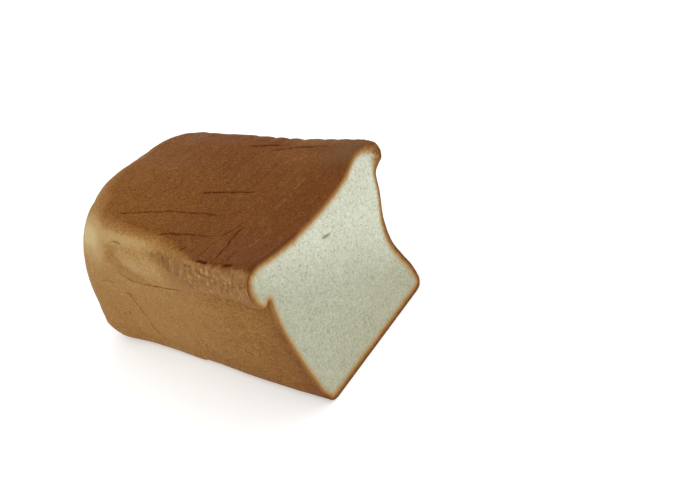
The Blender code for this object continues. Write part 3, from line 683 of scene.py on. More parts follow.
def torn_band(skin):
    """1 on the band of torn, folded skin along the front lip, 0 away from it."""
    x, y, z = skin[..., 0], skin[..., 1], skin[..., 2]
    towards_cut = np.clip((x - FOLDS_START[0]) / -FOLDS_START[0], 0.0, 1.0)
    lowest = mixed(FOLDS_LOWEST[0], FOLDS_LOWEST[1], towards_cut)
    return (between(x, FOLDS_START) * eased((z - lowest) / FOLDS_RISE_OVER)
            * eased((FOLDS_INNERMOST - y) / FOLDS_RISE_OVER))


def plain_surface():
    """The outside before its relief, (station, level, 3), and the way out at each point."""
    places, ways = outline()
    count = len(places)
    middle = (count - 1) // 2
    rear = np.arange(count) > middle
    walls, rounding = profiles(places, ways, rear)
    wall = np.concatenate([places[:, None] + ways[:, None] * walls[..., :1], walls[..., 1:]], axis=2)

    step = np.minimum(np.arange(count), count - 1 - np.arange(count))
    start = SPINE_START_INSET - BASE_LENGTH
    end = SPINE_END_INSET - BASE_LENGTH
    spine = np.interp(step, (0, SIDE_STATIONS, middle), (0.0, start, end))
    lip = wall[:, -1]
    inward = np.stack([spine, np.zeros(count)], axis=1) - lip[:, :2]
    share = (np.arange(1, CROWN_STEPS + 1) / CROWN_STEPS) ** CROWN_CROWDING
    plan = lip[:, None, :2] + inward[:, None] * share[None, :, None]
    inset = np.linalg.norm(inward, axis=1)[:, None] * share
    over = np.sqrt(1.0 - np.clip(1.0 - inset / rounding[:, None], 0.0, 1.0) ** 2)
    height = mixed(lip[:, 2:3], crown_height(plan[..., 0], plan[..., 1]), over)
    points = np.concatenate([wall, np.concatenate([plan, height[..., None]], axis=2)], axis=1)

    up = np.concatenate([np.zeros(walls.shape[:2]), over], axis=1)
    sideways = ways[:, None] * np.sqrt(1.0 - up[..., None] ** 2)
    return points, np.concatenate([sideways, up[..., None]], axis=2)


def crease(points, line, width, depth, change):
    """How deep a crease cuts at each point and how much painted shade it gets. It comes and goes with the
    change.
    """
    line = np.array(line, float)
    near = distance_to_line(points, line)
    ends = np.minimum(*(np.linalg.norm(points - end, axis=-1) for end in (line[0], line[-1])))
    length = np.linalg.norm(np.diff(line, axis=0), axis=1).sum()
    taper = np.clip(ends / min(CREASE_TAPER, CREASE_TAPER_SHARE * length), 0.0, 1.0) ** CREASE_TAPER_CURVE
    half = 0.5 * width * taper * (1.0 + CREASE_WIDTH_CHANGE * change) + CREASE_LEAST_HALF
    swollen = CREASE_LIP * np.exp(-((near / half - CREASE_LIP_AT) / CREASE_LIP_REACH) ** 2)
    sunk = depth * taper * (np.clip(1.0 - near / half, 0.0, 1.0) - swollen)
    shown = np.clip(CREASE_SHOWN + CREASE_SHOWN_CHANGE * change, CREASE_LEAST_SHOWN, 1.0)
    spread = np.exp(-(near / (CREASE_SHADE_WIDTH * half + CREASE_SHADE_BLUR)) ** 2)
    return sunk, min(1.0, CREASE_SHADE + CREASE_SHADE_WITH_DEPTH * depth) * taper * shown * spread


def crease_lines():
    """Every crease as (the two axes that it lies in, side, line, width, depth)."""
    across = []
    for x, start, end, depth in CROSS_CREASES:
        middle = (x + CROSS_BOW, (start + end) / 2.0)
        across.append((((x, start), middle, (x + CROSS_BOW_END, end)), CROSS_WIDTH, depth))
    groups = (([X, Y], "crown", list(CROWN_CREASES) + across), ([X, Z], "front", FRONT_CREASES),
              ([X, Z], "rear", REAR_CREASES), ([Y, Z], "end", END_CREASES))
    return [(axes, side, *row) for axes, side, rows in groups for row in rows]


def sides(skin):
    """Which side of the loaf each point is on, as shares."""
    share = {side: between(skin[..., axis], span) for side, (axis, span) in SIDE_SPANS.items()}
    for side in ("rear", "end"):
        share[side] = share[side] * (1.0 - share["crown"])
    return share


def crease_fields(skin):
    """How deep the creases and pits are at each point, and how much painted shade they get there."""
    bent = shifted(skin, skin, CREASE_WANDER, CREASE_WAVE, (11.0, 23.0, 37.0))
    change = uneven(skin, CREASE_WAVE, 61.0)
    share = sides(skin)
    sunk = np.zeros(skin.shape[:-1])
    dark = np.zeros(skin.shape[:-1])
    for axes, side, line, width, depth in crease_lines():
        deeper, darker = crease(bent[..., axes], line, width, depth, change)
        sunk += deeper * share[side]
        dark = np.maximum(dark, darker * share[side])
    for x, z, radius in WALL_PITS:
        near = np.hypot(bent[..., X] - x, PIT_FLATNESS * (bent[..., Z] - z)) / radius
        hole = np.exp(-near**2) * share["front"]
        sunk += PIT_DEPTH * hole
        dark = np.maximum(dark, PIT_SHADE * hole)
    return sunk, dark


def near_creases(skin):
    """Which points lie so near a crease or a torn line that the mesh is finer there."""
    share = sides(skin)
    near = distance_to_torn_lines(skin) < TORN_REACH
    for axes, side, line, width, _ in crease_lines():
        reach = CREASE_REACH + 0.5 * width
        near |= (distance_to_line(skin[..., axes], line) < reach) & (share[side] > LEAST_SHARE)
    return near


def curl_rings(skin):
    """Distance from the middle of the curl of torn skin, in its own half axes."""
    aside = skin[..., X] - CURL_MIDDLE[0]
    return np.hypot(aside / CURL_AXES[0], (skin[..., Z] + CURL_TILT * aside - CURL_MIDDLE[1]) / CURL_AXES[1])


def torn_share(skin):
    """1 where the skin of the front lip is torn and shows its fibres."""
    x, y, z = skin[..., X], skin[..., Y], skin[..., Z]
    ragged = waves(skin, TORN_RAGGED)
    above = eased((z - follow(x, TORN_EDGES) + ragged) / TORN_SOFTNESS)
    outside = eased((follow(x, TORN_EDGES, 2) - y + ragged) / TORN_SOFTNESS)
    return between(x, TORN_STARTS) * above * outside * (z > TORN_BOTTOM)


def lip_face(skin):
    """1 on the outer face of the front lip, where lines in x and height lie, 0 on the crown behind it."""
    return eased((follow(skin[..., X], LIP_FACE_EDGE) - skin[..., Y]) / TORN_SOFTNESS)


def distance_to_torn_lines(skin):
    """Distance of each point from the nearest strand or slit of the torn lip."""
    distances = [distance_to_line(skin[..., [X, Z]], line) for line in TORN_STRANDS + TORN_SLITS]
    return np.where(lip_face(skin) > LEAST_SHARE, np.minimum.reduce(distances), np.inf)


def torn_lines(skin):
    """How much each point is on a strand of the torn lip, and how much in a slit."""
    bent = shifted(skin, skin[..., [X, Z]], TORN_WANDER, TORN_WAVE, (13.0, 43.0))
    change = np.clip(TORN_SHOWN + TORN_SHOWN_CHANGE * uneven(skin, 3.0, 67.0), TORN_LEAST_SHOWN, 1.0)
    on_lip = lip_face(skin)
    shares = []
    for lines, half in ((TORN_STRANDS, STRAND_HALF), (TORN_SLITS, SLIT_HALF)):
        near = np.minimum.reduce([distance_to_line(bent, line) for line in lines]) / half
        shares.append(np.exp(-near**2) * change * on_lip)
    return shares


def torn_tone(skin):
    """How much lighter the torn skin is than its middle tone: lighter above and low down, and darker in the
    curl's hollow, which is painted shade.
    """
    return patch(skin, TORN_PALE_LOBE) + TORN_LOW * within(skin, LOW_TORN_AT) - patch(skin, TORN_CURL_SHADE)


def fibre_relief(skin, along):
    """Fibres of torn skin: slanted at first, more upright towards the cut, and upright in the curl."""
    x = skin[..., X]
    ring = curl_rings(skin)
    curled = np.exp(-(ring / CURL_REACH) ** 4)
    bend = FIBRE_BEND * uneven(skin, FIBRE_BEND_WAVE, 5.0)
    flat = np.zeros_like(x)
    steep, level = FIBRE_SLANT
    aside = FIBRE_STRETCH_SLANTED * (steep * x - level * along)
    slanted = np.stack([level * x + steep * along + bend, aside, flat], axis=-1)
    upright = np.stack([x + FIBRE_BEND_UPRIGHT * bend, FIBRE_STRETCH_UPRIGHT * along, flat + 40.0], axis=-1)
    strands = [1.0 - waves(lay, FIBRE_WAVES, folded=True) for lay in (slanted, upright)]
    turned = np.clip(curled + FIBRES_TURNED * between(x, FIBRES_TURN), 0.0, 1.0)
    rim = np.exp(-((ring - 1.0) / CURL_RIM_REACH) ** 2)
    hollow = np.exp(-(ring / CURL_HOLLOW_REACH) ** 4)
    return (FIBRE_STRANDS * mixed(*strands, turned) + FIBRE_ROUGH * waves(skin, FIBRE_ROUGH_WAVES)
            + FIBRE_CURL_RIM * rim - FIBRE_CURL_HOLLOW * hollow)


def skin_relief(skin, along):
    """Height of the whole relief of the crust, and the fields that its colours follow."""
    x, y, z = skin[..., X], skin[..., Y], skin[..., Z]
    look = bpy.context.scene.loaf_crust
    torn = torn_share(skin)
    fibre = fibre_relief(skin, along)
    sunk, dark = crease_fields(skin)
    lift = between(z, RELIEF_STARTS)
    crumbly = within(skin, CRUMBLY_AT)
    strand, slit = torn_lines(skin)
    height = plain_relief(skin) - SKIN_INSET * lift
    height += look.fibre_height / MM * fibre * torn
    height += STRAND_RISE * strand - SLIT_DEPTH * slit
    bulge = between(x, EDGE_BULGE_RISES) * (1.0 - between(x, EDGE_BULGE_DROPS))
    height += EDGE_BULGE * bulge * (1.0 - between(z, EDGE_BULGE_ENDS)) * between(y, EDGE_BULGE_SIDE)
    height += lift * waves(skin, SKIN_WAVES)
    height += BUBBLE_HEIGHT * lift * np.clip(uneven(skin, BUBBLE_WAVE, BUBBLE_SEED), 0.0, 1.0) ** 2
    height -= crumbly * (waves(skin, CRUMBLY_WAVES, folded=True) - CRUMBLY_RISE)
    height -= sunk * look.crease_depth * lift
    bake_and_shading, amber = bake_and_shading_field(skin, crumbly)
    tone = FIBRE_TONE + FIBRE_TONE_RELIEF * fibre + FIBRE_TONE_STRAND * strand + torn_tone(skin)
    fields = {
        "bake_and_shading": bake_and_shading,
        "amber": amber,
        # Painted shade by the rear lip's tip and along the rear lip.
        "rear_lip_shade": np.maximum(patch(skin, REAR_LIP_TIP_SHADE), patch(skin, REAR_LIP_SHADE)) * between(z, REAR_LIP_SHADE_STARTS),
        "torn": torn,
        "fibre": np.clip(tone, 0.0, 1.0),
        # Painted shade in the creases, pits and slits.
        "crease": np.maximum(dark, SLIT_SHADE * slit),
        "scuff": scuff_field(skin),
    }
    return height, fields


def scuff_field(skin):
    """1 on the pale scuffs and flecks of the crown, 0 away from them."""
    crown = sides(skin)["crown"]
    bent = skin[..., :2] + SCUFF_WANDER * uneven(skin, 4.0, 91.0)[..., None]
    scuff = np.zeros(skin.shape[:-1])
    for x, start, end in CROWN_SCUFFS:
        near = distance_to_line(bent, ((x, start), (x, end))) / SCUFF_HALF_WIDTH
        scuff = np.maximum(scuff, SCUFF_STRENGTH * np.exp(-near**2) * crown)
    for x, y in CROWN_FLECKS:
        near = np.hypot(skin[..., X] - x, skin[..., Y] - y) / FLECK_RADIUS
        scuff = np.maximum(scuff, np.exp(-near**2) * crown)
    return scuff


def bake_and_shading_field(skin, crumbly):
    """How dark the crust is baked, from 0, pale gold, to 1, dark brown, with painted light beside the rear lip
    and painted shade in the hollow under the far shoulder, and where it is amber.
    """
    x, z = skin[..., X], skin[..., Z]
    crown = crown_share(skin)
    from_slice = behind_slice(skin)
    dark = follow(x, CROWN_BAKE)
    dark -= CROWN_MOTTLE * uneven(skin, CROWN_MOTTLE_WAVE, CROWN_MOTTLE_SEED) + patch(skin, LIGHT_ON_CROWN)
    # Painted light on the crown beside the rear lip.
    dark += CROWN_DARK_REAR * within(skin, CROWN_DARK_REAR_AT) - patch(skin, PAINTED_LIGHT_BY_REAR_LIP)
    dark -= patch(skin, LIGHT_FAR_CROWN)
    dark -= patch(skin, LIGHT_REAR_LINE) * between(x, REAR_LINE_AT)
    brim = np.exp(-(from_slice / BRIM_REACH) ** 2) * follow(rim_edge(skin[..., 1:]), BRIM)
    amber = (1.0 - (2.0 * crown - 1.0) ** 2) * between(x, AMBER_ENDS) * between(z, AMBER_STARTS)
    baked = mixed(wall_bake_and_shade(skin, from_slice), dark, crown) + CRUMBLY_DARKENS * crumbly + brim
    return np.clip(baked, 0.0, BAKE_MOST), amber


def crown_share(skin):
    """1 on the dark crown, which stops at an edge along the front and then down over the far end."""
    x, y, z = skin[..., X], skin[..., Y], skin[..., Z]
    wander = waves(skin, BAKE_WANDER)
    past_edge = y - follow(x, CROWN_EDGE) + CROWN_EDGE_WANDER * wander
    over_front = eased(past_edge / follow(x, CROWN_EDGE, 2) + 0.5)
    over_end = eased((x - follow(y, CROWN_END) + wander) / CROWN_END_SOFTNESS + 0.5)
    over_end = over_end * eased((z - CROWN_END_FOOT + wander) / CROWN_END_RISE)
    rear_foot = CROWN_REAR_FOOT + CROWN_REAR_RAISED * within(skin, REAR_RAISED_AT)
    return over_front * over_end * eased((z - rear_foot + wander) / CROWN_REAR_RISE)


def wall_bake_and_shade(skin, from_slice):
    """How dark the walls are baked: pale at the far shoulder, darker towards the slice and the base, with
    painted shade in the hollow under the far shoulder.
    """
    x, y, z = skin[..., X], skin[..., Y], skin[..., Z]
    towards_slice = np.clip((x - WALL_DARKENS_FROM) / WALL_DARKENS_OVER, 0.0, 1.0) ** WALL_DARKENS_CURVE
    wall = WALL_BAKE + WALL_DARKENS * towards_slice + WALL_BASE_DARKENS * between(z, WALL_BASE_SPAN)
    wall += WALL_MOTTLE * uneven(skin, WALL_MOTTLE_WAVE, WALL_MOTTLE_SEED) - patch(skin, PALE_WALL_BAND)
    # Painted shade along the hollow under the far shoulder.
    hollow = np.exp(-(distance_to_line(skin[..., [X, Z]], HOLLOW_LINE) / HOLLOW_SHADE_REACH) ** 2)
    gold = np.maximum.reduce([patch(skin, pale) for pale in (PALE_SHOULDER, PALE_STREAK, PALE_STRIP)])
    front_gold_less_shade = gold * (1.0 - HOLLOW_SHADE_HIDES_GOLD * hollow) - HOLLOW_SHADE * hollow
    front = between(y, FRONT_SIDE)
    gold_end = patch(skin, GOLD_END) * between(x, GOLD_END_AT)
    gold_rear = patch(skin, GOLD_REAR) * between(y, GOLD_REAR_AT)
    wall -= np.maximum.reduce([front_gold_less_shade * front, gold_end, gold_rear])
    wall += END_DARKENS * within(skin, END_DARKENS_AT)
    wall += BY_SLICE_DARKENS * np.exp(-(from_slice / BY_SLICE_REACH) ** 2) * front * between(z, BY_SLICE_SPAN)
    return wall


def ring_inset(ring, width):
    """The ring of the sliced face moved inwards by width, in the face's own plane coordinates."""
    before = ring - np.roll(ring, 1, axis=0)
    after = np.roll(ring, -1, axis=0) - ring
    before /= np.linalg.norm(before, axis=1)[:, None]
    after /= np.linalg.norm(after, axis=1)[:, None]
    along = before + after
    along /= np.linalg.norm(along, axis=1)[:, None]
    inward = np.stack([-along[:, 1], along[:, 0]], axis=1)
    area = np.sum(ring[:, 0] * np.roll(ring[:, 1], -1) - np.roll(ring[:, 0], -1) * ring[:, 1])
    return ring + inward * width * np.sign(area)


def on_cut(ring, proud=0.0):
    """Plane coordinates, (y, height), as places on the sliced face, proud of it by so much."""
    y, z = ring[..., 0], ring[..., 1]
    return np.stack([-CUT_LEAN * z - CUT_SKEW * (y - CUT_PIVOT) + proud, y, z], axis=-1)


def behind_slice(skin):
    """How far each point lies behind the sliced face, along X."""
    return on_cut(skin[..., 1:])[..., X] - skin[..., X]


def mesh_object(name, points, faces, fields):
    """An object from places in the form's millimetres, with its float fields."""
    mesh = bpy.data.meshes.new(name)
    mesh.from_pydata(((points - FORM_CENTRE) * MM).tolist(), [], faces)
    for field, values in fields.items():
        attribute = mesh.attributes.new(field, "FLOAT", "POINT")
        attribute.data.foreach_set("value", np.asarray(values, np.float32))
    mesh.shade_smooth()
    mesh.set_sharp_from_angle(angle=SHARP_FROM)
    made = bpy.data.objects.new(name, mesh)
    bpy.context.scene.collection.objects.link(made)
    return made


def path_lengths(plain):
    """Distance up each profile to each of its points."""
    steps = np.linalg.norm(np.diff(leaned(plain), axis=1), axis=2)
    return np.concatenate([np.zeros((len(plain), 1)), np.cumsum(steps, axis=1)], axis=1)


def cut_ring():
    """The sliced face's edge, (y, height): up the front, over the crown, down the rear, along the base."""
    places, ways, lengths, _, ring = plain_body()
    places, ways, lengths = places[ring], ways[ring], lengths[ring]
    height, _ = skin_relief(leaned(places), lengths)
    return leaned(places + ways * height[:, None])[:, 1:]


def plain_body():
    """The skin and the base before relief: places, ways out, path lengths, faces and the slice's edge."""
    plain, outward = plain_surface()
    along = path_lengths(plain)
    stations, levels, _ = plain.shape
    middle = (stations - 1) // 2
    index = np.arange(stations * levels).reshape(stations, levels)
    index[middle + 1:, -1] = index[:middle, -1][::-1]
    a, b = index[:-1, :-1], index[:-1, 1:]
    c, d = index[1:, 1:], index[1:, :-1]
    quads = np.stack([a, b, c, d], axis=-1).reshape(-1, 4).tolist()

    # The base, in rows from each front station to the rear one across from it.
    rows = [index[:middle + 1, 0]]
    front, rear = plain[:middle + 1, 0], plain[middle:, 0][::-1]
    added = []
    count = stations * levels
    for t in np.arange(1, BASE_STEPS) / BASE_STEPS:
        added.append(mixed(front, rear, t)[:middle])
        rows.append(np.append(np.arange(count, count + middle), index[middle, 0]))
        count += middle
    rows.append(index[middle:, 0][::-1])
    for one, other in zip(rows[:-1], rows[1:]):
        quads += np.stack([one[:-1], one[1:], other[1:], other[:-1]], axis=-1).tolist()
    faces = [tuple(dict.fromkeys(quad)) for quad in quads]
    added = np.concatenate(added)
    places = np.concatenate([plain.reshape(-1, 3), added])
    ways = np.concatenate([outward.reshape(-1, 3), np.zeros_like(added)])
    lengths = np.concatenate([along.reshape(-1), np.zeros(len(added))])
    ring = list(index[0]) + list(index[-1][-2::-1]) + [int(row[0]) for row in rows[1:-1]][::-1]
    return places, ways, lengths, faces, ring


def refined(places, ways, lengths, faces):
    """The body with its faces cut finer on the torn lip and beside the creases."""
    body = bmesh.new()
    way_out = body.verts.layers.float_vector.new("way")
    path = body.verts.layers.float.new("path")
    corners = [body.verts.new(place) for place in places.tolist()]
    for corner, way, length in zip(corners, ways.tolist(), lengths.tolist()):
        corner[way_out] = way
        corner[path] = length
    for face in faces:
        body.faces.new([corners[k] for k in face])
    for chosen in (lambda skin: torn_share(skin) > FINE_TORN_SHARE, near_creases):
        body.verts.index_update()
        skin = leaned(np.array([vert.co for vert in body.verts]))
        fine = chosen(skin) & (behind_slice(skin) > FINE_BEHIND_SLICE)
        edges = [edge for edge in body.edges if fine[edge.verts[0].index] and fine[edge.verts[1].index]]
        bmesh.ops.subdivide_edges(body, edges=edges, cuts=1, use_grid_fill=True)
    body.verts.index_update()
    places = np.array([vert.co for vert in body.verts])
    ways = np.array([vert[way_out] for vert in body.verts])
    lengths = np.array([vert[path] for vert in body.verts])
    faces = [[vert.index for vert in face.verts] for face in body.faces]
    body.free()
    return places, ways, lengths, faces


def crust_body():
    """Skin, base, the rim round the slice and the recess behind it that holds the crumb: one closed body."""
    places, ways, lengths, faces, ring = plain_body()
    places, ways, lengths, faces = refined(places, ways, lengths, faces)
    height, fields = skin_relief(leaned(places), lengths)
    skin = leaned(places + ways * height[:, None])
    fields["depth"] = np.zeros(len(skin))
    fields["edge"] = rim_edge(skin[:, 1:])
    fields["tip"] = tip_share(skin[:, 1:]) * np.exp(-(behind_slice(skin) / TIP_REACH) ** 2)
    flat = skin[ring][:, 1:]
    width = rim_widths(flat)
    points = [skin]
    values = {name: [field] for name, field in fields.items()}
    count = len(skin)
    last = ring
    insets = [(RIM_WIDTH * k / RIM_STEPS, rim_rise(k / RIM_STEPS)) for k in range(1, RIM_STEPS + 1)]
    for inset, proud in insets + [(RIM_WIDTH, -SLAB_DEPTH)]:
        points.append(on_cut(ring_inset(flat, inset), proud))
        here = list(range(count, count + len(ring)))
        count += len(ring)
        for name, field in fields.items():
            values[name].append(field[ring] if name != "depth" else inset / width)
        faces += ring_faces(last, here)
        last = here
    faces.append(tuple(last))
    return np.concatenate(points), faces, {name: np.concatenate(parts) for name, parts in values.items()}


def rim_rise(share):
    """How proud of the slice's plane the rounded rim is at a share of its width inwards, 0 at the most."""
    return RIM_PROUD * math.sin(RIM_TURN * share) - RIM_PROUD


def rim_widths(flat):
    """How far in the baking shows at places round the sliced face: furthest at the two lips."""
    width = RIM_BAKED + sum(amount * within(flat, spans) for amount, spans in RIM_BAKED_CHANGES)
    width = width + patch(flat, RIM_WIDE_FRONT)
    return width * (1.0 - patch(flat, RIM_FOLD)) + RIM_WIDE_TIP * tip_share(flat)


def tip_share(flat):
    """1 at the rear lip's rough tip on the sliced face, 0 away from it."""
    return patch(flat, REAR_TIP)


def rim_edge(flat):
    """How dark the rim's outer line is: darkest at the base and low at the rear, where it is partly painted
    shade, absent on the front wall.
    """
    front = within(flat, EDGE_FRONT)
    low = np.minimum(within(flat, EDGE_BASE) + within(flat, EDGE_SHADED_LOW_REAR), 1.0)
    lighter = EDGE_MIDDLE_LESS * within(flat, EDGE_MIDDLE) + EDGE_REAR_LESS * within(flat, EDGE_REAR)
    return 1.0 - front - lighter + EDGE_LOW_MORE * low * (1.0 - front)


def ring_faces(outer, inner):
    """The faces between two rings with as many corners each."""
    count = len(outer)
    return [(outer[k], outer[(k + 1) % count], inner[(k + 1) % count], inner[k]) for k in range(count)]


def inside_ring(points, ring):
    """Which points lie inside a closed ring."""
    inside = np.zeros(len(points), bool)
    x, y = points[:, 0], points[:, 1]
    for (ax, ay), (bx, by) in zip(ring, np.roll(ring, -1, axis=0)):
        crosses = (ay > y) != (by > y)
        inside ^= crosses & (x < (bx - ax) * (y - ay) / (by - ay + 1e-12) + ax)
    return inside


def distance_to_ring(points, ring):
    """Distance of each point from a closed ring."""
    nearest = np.full(len(points), np.inf)
    for start, end in zip(ring, np.roll(ring, -1, axis=0)):
        along = end - start
        t = np.clip((points - start) @ along / max(along @ along, 1e-12), 0.0, 1.0)
        offset = points - start - t[:, None] * along
        nearest = np.minimum(nearest, np.einsum("ij,ij->i", offset, offset))
    return np.sqrt(nearest)


def crumb_pits(points, ring, density, seed):
    """How deep the small cells of the crumb are at each point."""
    rng = np.random.default_rng(seed)
    low, high = ring.min(axis=0), ring.max(axis=0)
    count = int(np.prod(high - low) * density)
    centres = low + rng.random((count, 2)) * (high - low)
    size = CELL_RADIUS + CELL_RADIUS_MORE * rng.random(count) ** CELL_RADIUS_CURVE
    stretch = 1.0 + CELL_STRETCH * rng.random(count)
    turn = math.pi / 2.0 + CELL_TURN * rng.standard_normal(count)
    sunk = np.zeros(len(points))
    tree = KDTree(len(points))
    for k, (u, v) in enumerate(points.tolist()):
        tree.insert((u, v, 0.0), k)
    tree.balance()
    for (u, v), radius, longer, angle in zip(centres.tolist(), size, stretch, turn):
        cos, sin = math.cos(angle), math.sin(angle)
        for place, k, _ in tree.find_range((u, v, 0.0), radius * longer):
            du, dv = place[0] - u, place[1] - v
            along, aside = (du * cos + dv * sin) / longer, dv * cos - du * sin
            far = (along * along + aside * aside) / (radius * radius)
            if far < 1.0:
                sunk[k] = max(sunk[k], radius * CELL_DEEPER * math.sqrt(1.0 - far))
    return sunk


def named_pores(points):
    """How deep each point lies in one of the larger pores, as a share of their depth."""
    depth = np.zeros(len(points))
    for y, z, half_length, half_width, slant in PORES:
        angle = math.radians(slant)
        du, dv = points[:, 0] - y, points[:, 1] - z
        along = (du * math.cos(angle) + dv * math.sin(angle)) / half_length
        aside = (dv * math.cos(angle) - du * math.sin(angle)) / half_width
        hole = np.sqrt(np.clip(1.0 - along**2 - aside**2, 0.0, None))
        depth = np.maximum(depth, hole * min(1.0, half_length / PORE_FULL_LENGTH))
    return depth


def crumb_mesh(ring):
    """Places inside the ring, the ring's own first, and the triangles between them."""
    spacing = CRUMB_SPACING
    low, high = ring.min(axis=0), ring.max(axis=0)
    rows = np.arange(low[1], high[1], spacing * math.sqrt(3.0) / 2.0)
    columns = np.arange(low[0], high[0], spacing)
    u, v = np.meshgrid(columns, rows)
    u = u + (np.arange(len(rows)) % 2)[:, None] * spacing / 2.0
    rng = np.random.default_rng(4)
    grid = np.stack([u.ravel(), v.ravel()], axis=1) + (rng.random((u.size, 2)) - 0.5) * spacing * CRUMB_JITTER
    grid = grid[inside_ring(grid, ring)]
    grid = grid[distance_to_ring(grid, ring) > CRUMB_CLEAR_OF_RING * spacing]
    flat = [Vector(place) for place in np.concatenate([ring, grid]).tolist()]
    loop = [(k, (k + 1) % len(ring)) for k in range(len(ring))]
    made, _, triangles, _, _, _ = delaunay_2d_cdt(flat, loop, [], 1, 1e-5)
    return np.array([tuple(place) for place in made]), [tuple(triangle) for triangle in triangles]


def crumb_body():
    """The slab of crumb in the rim: its sliced face with every cell, its sides and its back."""
    look = bpy.context.scene.loaf_crumb
    skin_ring = cut_ring()
    ring = ring_inset(skin_ring, RIM_WIDTH)
    flat, faces = crumb_mesh(ring)
    depth = distance_to_ring(flat, skin_ring) / rim_widths(flat)
    inner = between(distance_to_ring(flat, ring), CRUMB_EDGE)
    airy = mixed(RIM_AIRY, 1.0, between(depth, RIM_AIRY_ENDS))
    tip = tip_share(flat)
    sunk = crumb_pits(flat, ring, look.cell_density * MM * MM, 12) * look.cell_depth * airy
    pore = named_pores(flat)
    place = on_cut(flat)
    rim = rim_rise(1.0) * (1.0 - inner) - tip * waves(place, TIP_WAVES, folded=True)
    face_relief = (waves(place, CRUMB_SWELL) - sunk - CRUMB_INSET) * inner
    place[:, X] += face_relief - PORE_DEPTH * pore + rim
    count, edge_count = len(flat), len(ring)
    back = list(range(count, count + edge_count))
    behind = on_cut(flat[:edge_count], BACK_SHORT - SLAB_DEPTH)
    faces += ring_faces(list(range(edge_count)), back)
    faces.append(tuple(back))
    fields = {
        # Painted light on the crumb's upper part, and painted shade on its low part and under the front lip.
        "painted_light": eased((flat @ PAINTED_LIGHT_WAY - PAINTED_LIGHT_FROM) / PAINTED_LIGHT_OVER),
        "low": between(flat[:, FACE_Z], CRUMB_LOW_SHADE) + patch(flat, CRUMB_SHADE_FRONT),
        "depth": depth,
        "edge": rim_edge(flat),
        "tip": tip,
        "cell": np.clip(sunk * inner, 0.0, 1.5),
        "pore": pore,
    }
    for name, values in fields.items():
        at_back = np.zeros(edge_count) if name in ("cell", "pore") else values[:edge_count]
        fields[name] = np.append(values, at_back)
    return np.concatenate([place, behind]), faces, fields


class Value:
    """A number that changes over a surface: a socket whose arithmetic adds Math nodes."""

    def __init__(self, recipe, socket):
        self.recipe = recipe
        self.socket = socket

    def _math(self, operation, *operands, clamp=False):
        settings = {"operation": operation, "use_clamp": clamp}
        return self.recipe.node("ShaderNodeMath", settings, dict(enumerate(operands)))

    def __add__(self, other):
        return self._math("ADD", self, other)

    __radd__ = __add__

    def __sub__(self, other):
        return self._math("SUBTRACT", self, other)

    def __rsub__(self, other):
        return self._math("SUBTRACT", other, self)

    def __mul__(self, other):
        return self._math("MULTIPLY", self, other)

    __rmul__ = __mul__

    def __truediv__(self, other):
        return self._math("DIVIDE", self, other)

    def __pow__(self, other):
        return self._math("POWER", self, other)

    def abs(self):
        return self._math("ABSOLUTE", self)

    def clamped(self):
        return self._math("ADD", self, 0.0, clamp=True)

    def least(self, other):
        return self._math("MINIMUM", self, other)

    def span(self, low, high):
        """0 where the value is at low, 1 where it is at high, eased between."""
        settings = {"interpolation_type": "SMOOTHSTEP"}
        inputs = {"Value": self, "From Min": low, "From Max": high}
        return self.recipe.node("ShaderNodeMapRange", settings, inputs)


class Recipe:
    """A material and the nodes that make it."""

    def __init__(self, name):
        self.material = bpy.data.materials.new(name)
        self.material.use_nodes = True
        self.tree = self.material.node_tree
        self.shader = self.tree.nodes["Principled BSDF"]

    def node(self, kind, settings=None, inputs=None, output=0):
        """Adds a node, sets its settings, then its sockets, and gives one of its outputs."""
        made = self.tree.nodes.new(kind)
        for setting, value in (settings or {}).items():
            setattr(made, setting, value)
        for socket, value in (inputs or {}).items():
            self.feed(made.inputs[socket], value)
        return Value(self, made.outputs[output])

    def feed(self, socket, value):
        if isinstance(value, Value):
            self.tree.links.new(value.socket, socket)
        else:
            socket.default_value = value

    def field(self, name):
        return self.node("ShaderNodeAttribute", {"attribute_name": name}, output="Fac")

    def place(self, stretch=(1.0, 1.0, 1.0), turn=(0.0, 0.0, 0.0)):
        """Object coordinates in millimetres, stretched and turned."""
        coordinates = self.node("ShaderNodeTexCoord", output="Object")
        scale = [factor / MM for factor in stretch]
        inputs = {"Vector": coordinates, "Rotation": turn, "Scale": scale}
        return self.node("ShaderNodeMapping", {}, inputs)

    def noise(self, place, wavelength, detail=3.0, roughness=0.5, distortion=0.0):
        inputs = {"Vector": place, "Scale": 1.0 / wavelength, "Detail": detail, "Roughness": roughness,
                  "Distortion": distortion}
        return self.node("ShaderNodeTexNoise", {"noise_dimensions": "3D"}, inputs)

    def cells(self, place, size, feature="F1"):
        inputs = {"Vector": place, "Scale": 1.0 / size}
        return self.node("ShaderNodeTexVoronoi", {"feature": feature}, inputs, output="Distance")

    def blend(self, amount, one, other, kind="MIX"):
        """A colour between one and other."""
        settings = {"data_type": "RGBA", "blend_type": kind}
        inputs = {0: amount, 6: one, 7: other}
        return self.node("ShaderNodeMix", settings, inputs, output=2)

    def bands(self, value, stops, colours):
        """A colour that goes through the colours as the value rises, and is each of them at its stop."""
        colour = colours[0]
        for low, high, next_colour in zip(stops[:-1], stops[1:], colours[1:]):
            colour = self.blend(value.span(low, high), colour, next_colour)
        return colour

    def bump(self, height, distance, strength=1.0, below=None):
        inputs = {"Height": height, "Distance": distance, "Strength": strength}
        if below is not None:
            inputs["Normal"] = below
        return self.node("ShaderNodeBump", {}, inputs)

    def surface(self, inputs):
        """Feeds the shader's sockets and gives the finished material."""
        for socket, value in inputs.items():
            self.feed(self.shader.inputs[socket], value)
        return self.material


def shade(colour, factor):
    """A colour made lighter or darker by a factor."""
    return tuple(min(1.0, channel * factor) for channel in colour[:3]) + (1.0,)


